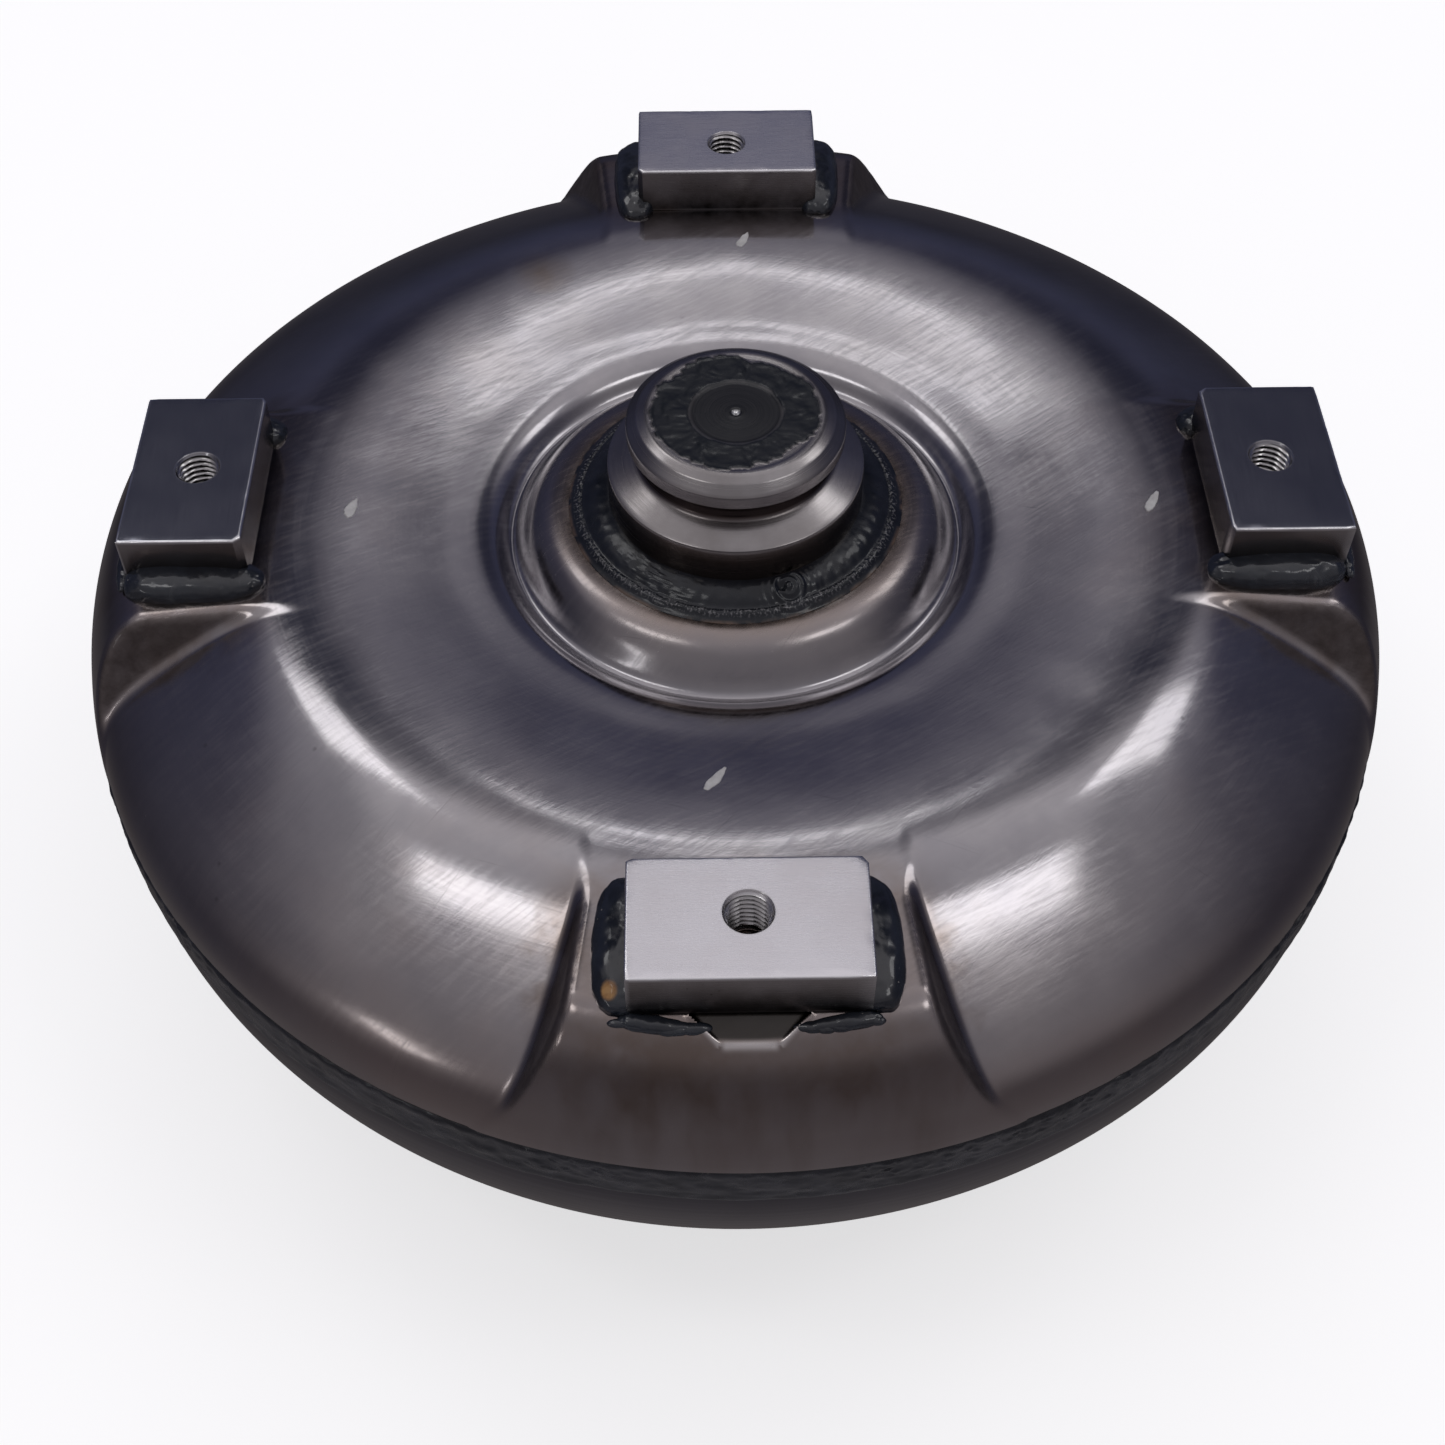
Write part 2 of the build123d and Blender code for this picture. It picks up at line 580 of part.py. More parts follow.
with BuildPart() as friction_lining:
    with BuildSketch(Plane.XY.offset(-23.9)):
        Circle(81.0)
        Circle(64.5, mode=Mode.SUBTRACT)
    extrude(amount=1.2)
    # oil grooves
    with BuildSketch(Plane.XY.offset(-23.2)):
        with PolarLocations(72.75, 16):
            Rectangle(18, 1.6, rotation=20)
    extrude(amount=1, mode=Mode.SUBTRACT)
friction_lining.part.label = "friction_lining"
export_step(friction_lining.part, "parts/friction_lining.step")

with BuildPart() as damper_front_plate:
    with BuildSketch(Plane.XY.offset(-28.2)):
        Circle(119)
        Circle(83.5, mode=Mode.SUBTRACT)
        with PolarLocations(87.0, 12):
            Circle(2.0, mode=Mode.SUBTRACT)
        with PolarLocations(115.0, 12, start_angle=15):
            Circle(2.4, mode=Mode.SUBTRACT)
        with PolarLocations(spring_r, n_springs, start_angle=30):
            Rectangle(12.6, spring_len + 1.0, mode=Mode.SUBTRACT)
    extrude(amount=1.5)
    # rolled lips that keep the springs in their windows
    with PolarLocations(spring_r, n_springs, start_angle=30):
        with Locations(Location((0, 0, spring_z), (90, 0, 0))):
            Cylinder(7.4, spring_len)
            Cylinder(6.3, spring_len + 4, mode=Mode.SUBTRACT)
    with BuildSketch(Plane.XY.offset(-45)):
        Circle(125)
    extrude(amount=45 - 28.2, mode=Mode.SUBTRACT)
    with PolarLocations(spring_r, n_springs, start_angle=30):
        with Locations((0, 0, -24)):
            Box(5.0, spring_len + 4, 8, mode=Mode.SUBTRACT)
damper_front_plate.part.label = "damper_front_plate"
export_step(damper_front_plate.part, "parts/damper_front_plate.step")

with BuildPart() as damper_rear_plate:
    with BuildSketch(Plane.XY.offset(-33.9)):
        Circle(119)
        Circle(89, mode=Mode.SUBTRACT)
        with PolarLocations(115.0, 12, start_angle=15):
            Circle(2.4, mode=Mode.SUBTRACT)
        with PolarLocations(spring_r, n_springs, start_angle=30):
            Rectangle(10.4, spring_len + 1.0, mode=Mode.SUBTRACT)
    extrude(amount=1.6)
damper_rear_plate.part.label = "damper_rear_plate"
export_step(damper_rear_plate.part, "parts/damper_rear_plate.step")

# coil springs of the damper
helix_h = spring_len - 2 * wire_r - 0.6
with BuildPart() as damper_spring:
    with BuildLine() as coil_path:
        Helix(pitch=spring_pitch, height=helix_h, radius=spring_od_r - wire_r)
    with BuildSketch(Plane(origin=coil_path.line @ 0, z_dir=coil_path.line % 0)):
        Circle(wire_r)
    sweep(path=coil_path.line, is_frenet=True)
with BuildPart() as damper_springs:
    with PolarLocations(spring_r, n_springs, start_angle=30):
        with Locations(Location((0, helix_h / 2, spring_z), (90, 0, 0))):
            add(damper_spring.part)
damper_springs.part.label = "damper_springs"
export_step(damper_springs.part, "parts/damper_springs.step")

with BuildPart() as damper_spacer:
    with BuildSketch(Plane.XZ):
        with BuildLine():
            Polyline((0, -34.9), (3.2, -34.9), (3.6, -34.5), (3.6, -33.9), (2.38, -33.9), (2.38, -32.3), (3.4, -32.3), (3.4, -28.2),
                     (2.38, -28.2), (2.38, -26.7), (3.6, -26.7), (3.6, -26.1), (3.2, -25.7), (0, -25.7), (0, -34.9))
        make_face()
    revolve(axis=Axis.Z)
with BuildPart() as damper_spacer_rivets:
    with PolarLocations(115.0, 12, start_angle=15):
        add(damper_spacer.part)
damper_spacer_rivets.part.label = "damper_spacer_rivets"
export_step(damper_spacer_rivets.part, "parts/damper_spacer_rivets.step")

with BuildPart() as piston_rivet:
    with BuildSketch(Plane.XZ):
        with BuildLine():
            Polyline((0, -28.2), (1.98, -28.2), (1.98, -23.9), (2.9, -23.9), (2.9, -23.3), (2.3, -22.8), (0, -22.8), (0, -28.2))
        make_face()
    revolve(axis=Axis.Z)
with BuildPart() as piston_rivets:
    with PolarLocations(87.0, 12):
        add(piston_rivet.part)
piston_rivets.part.label = "piston_rivets"
export_step(piston_rivets.part, "parts/piston_rivets.step")

# ===========================================================================
# STATOR AND ONE-WAY CLUTCH
# ===========================================================================
with BuildPart() as stator_wheel:
    # blades
    with BuildSketch(Plane.YZ.offset(55)) as airfoil:
        with BuildLine():
            Spline((-7.0, -66.8), (-2.4, -68.2), (1.2, -73.0), (4.6, -79.0), (9.4, -84.6))
            Line((9.4, -84.6), (8.6, -84.9))
            Spline((8.6, -84.9), (1.8, -80.2), (-3.4, -74.6), (-7.6, -70.2), (-7.0, -66.8))
        make_face()
    extrude(amount=33)
    blade_solid = stator_wheel.part
    with PolarLocations(0, n_stator_blades - 0):
        add(blade_solid)
    with BuildSketch(Plane.XY.offset(-90)):
        Circle(85.5)
    extrude(amount=30, mode=Mode.INTERSECT)
    # hub ring and shroud
    with BuildSketch(Plane.XZ):
        with BuildLine():
            Polyline((43.0, -64.9), (57.0, -64.9), (59.6, -66.4), (61.5, -70.0), (62.2, -76.0), (61.5, -82.0), (59.6, -84.8),
                     (57.0, -85.3), (43.0, -85.3), (43.0, -64.9))
        make_face()
    revolve(axis=Axis.Z)
    with BuildSketch(Plane.XZ):
        Polygon((83.8, -69.4), (86.3, -69.8), (86.3, -82.2), (83.8, -82.6), align=None)
    revolve(axis=Axis.Z)
    # pocket for the one-way clutch and its caps
    with BuildSketch(Plane.XY.offset(-90)):
        Circle(43.0)
    extrude(amount=30, mode=Mode.SUBTRACT)
    with BuildSketch(Plane.XY.offset(-66.3)):
        Circle(44.6)
    extrude(amount=1.5, mode=Mode.SUBTRACT)
stator_wheel.part.label = "stator_wheel"
export_step(stator_wheel.part, "parts/stator_wheel.step")

roller_r, roller_mid_r, race_r = 3.2, 33.5, 30.0
with BuildPart() as owc_outer_race:
    with BuildSketch(Plane.XY.offset(-84.0)):
        Circle(43.0)
        Circle(34.4, mode=Mode.SUBTRACT)
    extrude(amount=16.5)
    with BuildSketch(Plane.XY.offset(-84.0)):
        with PolarLocations(0, n_rollers):
            Polygon((33.0, -4.6), (37.2, -4.6), (38.3, 5.6), (33.0, 5.6), align=None)
    extrude(amount=16.5, mode=Mode.SUBTRACT)
owc_outer_race.part.label = "owc_outer_race"
export_step(owc_outer_race.part, "parts/owc_outer_race.step")

with BuildPart() as owc_rollers:
    with BuildSketch(Plane.XY.offset(-83.5)):
        with PolarLocations(0, n_rollers):
            with Locations((33.6, -1.0)):
                Circle(roller_r)
    extrude(amount=15.5)
owc_rollers.part.label = "owc_rollers"
export_step(owc_rollers.part, "parts/owc_rollers.step")

# folded strip springs behind the rollers
with BuildPart() as owc_springs:
    with BuildSketch(Plane.XY.offset(-82.5)):
        with PolarLocations(0, n_rollers):
            Polygon((32.0, 2.55), (36.4, 2.75), (36.4, 3.15), (32.6, 3.6), (36.6, 4.0), (36.6, 4.4), (32.0, 4.9),
                    (32.0, 4.5), (35.6, 4.15), (31.6, 3.75), (31.6, 3.4), (35.4, 3.0), (32.0, 2.85), align=None)
    extrude(amount=13.5)
owc_springs.part.label = "owc_springs"
export_step(owc_springs.part, "parts/owc_springs.step")

with BuildPart() as owc_inner_race:
    with BuildSketch(Plane.XZ):
        with BuildLine():
            Polyline((17.2, -86.6), (17.2, -65.3), (17.9, -64.5), (29.3, -64.5), (race_r, -65.2), (race_r, -86.0), (29.4, -86.6), (17.2, -86.6))
        make_face()
    revolve(axis=Axis.Z)
    with BuildSketch(Plane.XY.offset(-88)):
        with PolarLocations(17.2, 36):
            Rectangle(2.6, 1.5)
    extrude(amount=26, mode=Mode.SUBTRACT)
owc_inner_race.part.label = "owc_inner_race"
export_step(owc_inner_race.part, "parts/owc_inner_race.step")

with BuildPart() as stator_front_cap:
    with BuildSketch(Plane.XY.offset(-67.5)):
        Circle(42.9)
        Circle(30.5, mode=Mode.SUBTRACT)
    extrude(amount=1.2)
stator_front_cap.part.label = "stator_front_cap"
export_step(stator_front_cap.part, "parts/stator_front_cap.step")

with BuildPart() as stator_snap_ring:
    with BuildSketch(Plane.XY.offset(-66.2)):
        Circle(44.5)
        Circle(41.0, mode=Mode.SUBTRACT)
        with Locations((43, 0)):
            Rectangle(6, 9, mode=Mode.SUBTRACT)
    extrude(amount=1.2)
stator_snap_ring.part.label = "stator_snap_ring"
export_step(stator_snap_ring.part, "parts/stator_snap_ring.step")

with BuildPart() as stator_rear_cap:
    with BuildSketch(Plane.XZ):
        with BuildLine():
            Polyline((30.5, -87.5), (30.5, -84.0), (42.9, -84.0), (42.9, -85.3), (47.0, -85.3), (47.0, -87.5), (30.5, -87.5))
        make_face()
    revolve(axis=Axis.Z)
stator_rear_cap.part.label = "stator_rear_cap"
export_step(stator_rear_cap.part, "parts/stator_rear_cap.step")

with BuildPart() as rear_race_stator:
    with BuildSketch(Plane.XY.offset(-88.7)):
        Circle(42.0)
        Circle(30.5, mode=Mode.SUBTRACT)
    extrude(amount=1.2)
rear_race_stator.part.label = "rear_race_stator"
export_step(rear_race_stator.part, "parts/rear_race_stator.step")

with BuildPart() as mid_race_stator:
    with BuildSketch(Plane.XY.offset(-64.5)):
        Circle(29.3)
        Circle(20.5, mode=Mode.SUBTRACT)
    extrude(amount=1.2)
mid_race_stator.part.label = "mid_race_stator"
export_step(mid_race_stator.part, "parts/mid_race_stator.step")

# needle thrust bearings: cage with radial pockets, needles in them
with BuildPart() as rear_bearing_cage:
    with BuildSketch(Plane.XY.offset(-91.3)):
        Circle(41.5)
        Circle(31.0, mode=Mode.SUBTRACT)
        with PolarLocations(36.25, 30):
            Rectangle(7.2, 3.1, mode=Mode.SUBTRACT)
    extrude(amount=1.6)
rear_bearing_cage.part.label = "rear_bearing_cage"
export_step(rear_bearing_cage.part, "parts/rear_bearing_cage.step")

with BuildPart() as rear_bearing_needles:
    with PolarLocations(33.0, 30):
        with Locations(Location((0, 0, -90.5), (0, 90, 0))):
            Cylinder(1.45, 6.6, align=(Align.CENTER, Align.CENTER, Align.MIN))
rear_bearing_needles.part.label = "rear_bearing_needles"
export_step(rear_bearing_needles.part, "parts/rear_bearing_needles.step")

with BuildPart() as mid_bearing_cage:
    with BuildSketch(Plane.XY.offset(-62.3)):
        Circle(29.2)
        Circle(20.8, mode=Mode.SUBTRACT)
        with PolarLocations(25.0, 20):
            Rectangle(5.6, 3.1, mode=Mode.SUBTRACT)
    extrude(amount=1.6)
mid_bearing_cage.part.label = "mid_bearing_cage"
export_step(mid_bearing_cage.part, "parts/mid_bearing_cage.step")

with BuildPart() as mid_bearing_needles:
    with PolarLocations(22.5, 20):
        with Locations(Location((0, 0, -61.5), (0, 90, 0))):
            Cylinder(1.45, 5.0, align=(Align.CENTER, Align.CENTER, Align.MIN))
mid_bearing_needles.part.label = "mid_bearing_needles"
export_step(mid_bearing_needles.part, "parts/mid_bearing_needles.step")
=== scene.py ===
import json
import math

import bmesh
import bpy
import numpy as np
from mathutils import Matrix, Vector


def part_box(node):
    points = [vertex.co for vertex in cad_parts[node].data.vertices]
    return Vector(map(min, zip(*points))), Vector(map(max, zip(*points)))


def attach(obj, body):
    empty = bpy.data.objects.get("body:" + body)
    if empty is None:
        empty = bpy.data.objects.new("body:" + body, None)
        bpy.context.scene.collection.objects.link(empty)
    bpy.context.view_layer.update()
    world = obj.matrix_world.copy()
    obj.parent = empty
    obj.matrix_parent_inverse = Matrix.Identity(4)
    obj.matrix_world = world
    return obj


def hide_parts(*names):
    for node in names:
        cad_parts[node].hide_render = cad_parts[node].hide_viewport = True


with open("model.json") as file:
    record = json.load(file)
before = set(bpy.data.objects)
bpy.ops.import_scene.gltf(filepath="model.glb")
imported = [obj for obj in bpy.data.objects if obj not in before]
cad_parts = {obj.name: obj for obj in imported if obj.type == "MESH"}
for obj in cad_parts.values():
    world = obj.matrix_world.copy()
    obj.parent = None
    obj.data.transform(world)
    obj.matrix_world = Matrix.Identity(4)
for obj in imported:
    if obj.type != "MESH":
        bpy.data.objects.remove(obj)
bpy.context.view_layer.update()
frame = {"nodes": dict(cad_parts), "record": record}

MM = 0.001
rng = np.random.default_rng(7)
pi = math.pi

# ---------------------------------------------------------------- numpy helpers


def spline(points, n, start=None, end=None):
    """clamped cubic through points, by chord length; n samples spread evenly along it"""
    P = np.array(points, float)
    h = np.hypot(*np.diff(P, axis=0).T)
    s = np.r_[0, np.cumsum(h)]
    m = len(P)
    A = np.zeros((m, m))
    R = np.zeros((m, 2))
    for i in range(1, m - 1):
        A[i, i - 1], A[i, i], A[i, i + 1] = h[i], 2 * (h[i] + h[i - 1]), h[i - 1]
        R[i] = 3 * (h[i] * (P[i] - P[i - 1]) / h[i - 1] + h[i - 1] * (P[i + 1] - P[i]) / h[i])
    if start is None:
        A[0, 0], A[0, 1], R[0] = 2, 1, 3 * (P[1] - P[0]) / h[0]
    else:
        A[0, 0], R[0] = 1, np.array(start, float) / np.hypot(*start)
    if end is None:
        A[-1, -1], A[-1, -2], R[-1] = 2, 1, 3 * (P[-1] - P[-2]) / h[-1]
    else:
        A[-1, -1], R[-1] = 1, np.array(end, float) / np.hypot(*end)
    D = np.linalg.solve(A, R)
    u = np.linspace(0, s[-1], n)
    i = np.clip(np.searchsorted(s, u, side="right") - 1, 0, m - 2)
    t = ((u - s[i]) / h[i])[:, None]
    H = h[i][:, None]
    return ((1 + 2 * t) * (1 - t) ** 2 * P[i] + t * (1 - t) ** 2 * H * D[i]
            + t * t * (3 - 2 * t) * P[i + 1] + t * t * (t - 1) * H * D[i + 1])


def line(points, step=1.0):
    out = [np.array(points[0], float)]
    for a, b in zip(points[:-1], points[1:]):
        a, b = np.array(a, float), np.array(b, float)
        k = max(1, int(np.ceil(np.hypot(*(b - a)) / step)))
        for j in range(1, k + 1):
            out.append(a + (b - a) * j / k)
    return np.array(out)


def vnoise(x, y, z, seed=0):
    """smooth value noise, -1..1"""
    x, y, z = (np.asarray(v, float) for v in (x, y, z))
    xi, yi, zi = np.floor(x).astype(np.int64), np.floor(y).astype(np.int64), np.floor(z).astype(np.int64)
    fx, fy, fz = x - xi, y - yi, z - zi
    fx, fy, fz = (f * f * f * (f * (f * 6 - 15) + 10) for f in (fx, fy, fz))

    def h(a, b, c):
        n = (a * 73856093) ^ (b * 19349663) ^ (c * 83492791) ^ (seed * 2654435761)
        n = (n ^ (n >> 13)) * 1274126177
        n = n ^ (n >> 16)
        return (n & 0xFFFF) / 32767.5 - 1.0

    def lerp(a, b, t):
        return a + (b - a) * t

    c00 = lerp(h(xi, yi, zi), h(xi + 1, yi, zi), fx)
    c10 = lerp(h(xi, yi + 1, zi), h(xi + 1, yi + 1, zi), fx)
    c01 = lerp(h(xi, yi, zi + 1), h(xi + 1, yi, zi + 1), fx)
    c11 = lerp(h(xi, yi + 1, zi + 1), h(xi + 1, yi + 1, zi + 1), fx)
    return lerp(lerp(c00, c10, fy), lerp(c01, c11, fy), fz)


def fbm(x, y, z, seed=0, octaves=4):
    a, v, f = 1.0, 0.0, 1.0
    for k in range(octaves):
        v = v + a * vnoise(x * f, y * f, z * f, seed + k)
        a *= 0.5
        f *= 2.03
    return v


def sstep(a, b, x):
    t = np.clip((x - a) / (b - a), 0, 1)
    return t * t * (3 - 2 * t)


def smax(a, b, k):
    h = np.clip(0.5 + 0.5 * (a - b) / k, 0, 1)
    return b + (a - b) * h + k * h * (1 - h)


def smin(a, b, k):
    return -smax(-a, -b, k)


# ---------------------------------------------------------------- mesh helpers


def make_object(name, verts, faces, mat, body, replaces=(), attrs=None, smooth=True, merge=0.0):
    me = bpy.data.meshes.new(name)
    me.from_pydata((np.asarray(verts) * MM).tolist(), [], faces.tolist() if hasattr(faces, "tolist") else faces)
    me.update()
    if attrs:
        for k, v in attrs.items():
            a = me.attributes.new(k, "FLOAT", "POINT")
            a.data.foreach_set("value", np.asarray(v, np.float32))
    bm = bmesh.new()
    bm.from_mesh(me)
    if merge:
        bmesh.ops.remove_doubles(bm, verts=bm.verts, dist=merge * MM)
    bmesh.ops.recalc_face_normals(bm, faces=bm.faces)
    bm.to_mesh(me)
    bm.free()
    if smooth:
        me.polygons.foreach_set("use_smooth", np.ones(len(me.polygons), bool))
    me.update()
    o = bpy.data.objects.new(name, me)
    bpy.context.scene.collection.objects.link(o)
    if mat is not None:
        me.materials.append(mat)
    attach(o, body)
    if replaces:
        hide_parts(*replaces)
    return o


def ring_faces(nr, nt, close_r=True):
    """quads between nr rings of nt points, rings closed round, first joined to last when close_r"""
    i = np.arange(nr if close_r else nr - 1)[:, None]
    j = np.arange(nt)[None, :]
    a = i * nt + j
    b = i * nt + (j + 1) % nt
    i2 = (i + 1) % nr
    c = i2 * nt + (j + 1) % nt
    d = i2 * nt + j
    return np.stack([np.broadcast_to(v, (i.shape[0], nt)) for v in (a, b, c, d)], -1).reshape(-1, 4)


def sharp_by_angle(o, deg):
    o.data.set_sharp_from_angle(angle=math.radians(deg))


# ---------------------------------------------------------------- materials


class N:
    """short way to write node trees"""

    def __init__(self, name):
        self.m = bpy.data.materials.new(name)
        self.m.use_nodes = True
        self.t = self.m.node_tree
        self.t.nodes.clear()
        self.out = self.t.nodes.new("ShaderNodeOutputMaterial")
        self.b = self.t.nodes.new("ShaderNodeBsdfPrincipled")
        self.t.links.new(self.b.outputs[0], self.out.inputs[0])
        self.tc = self.t.nodes.new("ShaderNodeTexCoord")
        self.obj = self.tc.outputs["Object"]

    def link(self, a, b):
        self.t.links.new(a, b)

    def put(self, socket, v):
        if isinstance(v, (int, float)):
            socket.default_value = v
        elif isinstance(v, tuple):
            socket.default_value = v if len(v) == len(socket.default_value) else (*v, 1.0)
        else:
            self.link(v, socket)

    def math(self, op, a, b=None, c=None, clamp=False):
        n = self.t.nodes.new("ShaderNodeMath")
        n.operation = op
        n.use_clamp = clamp
        self.put(n.inputs[0], a)
        if b is not None:
            self.put(n.inputs[1], b)
        if c is not None:
            self.put(n.inputs[2], c)
        return n.outputs[0]

    def xyz(self, v=None):
        n = self.t.nodes.new("ShaderNodeSeparateXYZ")
        self.link(v or self.obj, n.inputs[0])
        return n.outputs[0], n.outputs[1], n.outputs[2]

    def comb(self, x, y, z):
        n = self.t.nodes.new("ShaderNodeCombineXYZ")
        for s, v in zip(n.inputs, (x, y, z)):
            self.put(s, v)
        return n.outputs[0]

    def noise(self, vec, scale, detail=4.0, rough=0.55, dist=0.0):
        n = self.t.nodes.new("ShaderNodeTexNoise")
        self.put(n.inputs["Vector"], vec)
        n.inputs["Scale"].default_value = scale
        n.inputs["Detail"].default_value = detail
        n.inputs["Roughness"].default_value = rough
        n.inputs["Distortion"].default_value = dist
        return n.outputs["Fac"]

    def voronoi(self, vec, scale, feature="F1", rand=1.0):
        n = self.t.nodes.new("ShaderNodeTexVoronoi")
        n.feature = feature
        self.put(n.inputs["Vector"], vec)
        n.inputs["Scale"].default_value = scale
        n.inputs["Randomness"].default_value = rand
        return n.outputs["Distance"]

    def map(self, v, a, b, c=0.0, d=1.0):
        n = self.t.nodes.new("ShaderNodeMapRange")
        self.put(n.inputs[0], v)
        for s, q in zip((1, 2, 3, 4), (a, b, c, d)):
            n.inputs[s].default_value = q
        n.clamp = True
        return n.outputs[0]

    def mix(self, fac, a, b):
        n = self.t.nodes.new("ShaderNodeMix")
        n.data_type = "RGBA"
        self.put(n.inputs[0], fac)
        self.put(n.inputs[6], a)
        self.put(n.inputs[7], b)
        return n.outputs[2]

    def mixf(self, fac, a, b):
        n = self.t.nodes.new("ShaderNodeMix")
        n.data_type = "FLOAT"
        self.put(n.inputs[0], fac)
        self.put(n.inputs[2], a)
        self.put(n.inputs[3], b)
        return n.outputs[0]

    def attr(self, name):
        n = self.t.nodes.new("ShaderNodeAttribute")
        n.attribute_name = name
        return n.outputs["Fac"]

    def bump(self, height, strength, dist_mm, normal=None):
        n = self.t.nodes.new("ShaderNodeBump")
        n.inputs["Strength"].default_value = strength
        n.inputs["Distance"].default_value = dist_mm * MM
        self.link(height, n.inputs["Height"])
        if normal is not None:
            self.link(normal, n.inputs["Normal"])
        return n.outputs[0]

    def set(self, **kw):
        for k, v in kw.items():
            self.put(self.b.inputs[k.replace("_", " ")], v)
        return self.m

    def polar(self):
        """radius in mm, angle in radians, height in mm"""
        x, y, z = self.xyz()
        r = self.math("MULTIPLY", self.math("SQRT", self.math("ADD", self.math("MULTIPLY", x, x), self.math("MULTIPLY", y, y))), 1000.0)
        a = self.math("ARCTAN2", y, x)
        return r, a, self.math("MULTIPLY", z, 1000.0)

    def spot(self, x, y, r0, r1, z=None):
        """1 inside radius r0 mm of (x, y) mm, 0 past r1"""
        px, py, pz = self.xyz()
        dx = self.math("SUBTRACT", self.math("MULTIPLY", px, 1000.0), x)
        dy = self.math("SUBTRACT", self.math("MULTIPLY", py, 1000.0), y)
        d = self.math("SQRT", self.math("ADD", self.math("MULTIPLY", dx, dx), self.math("MULTIPLY", dy, dy)))
        return self.map(d, r0, r1, 1.0, 0.0)


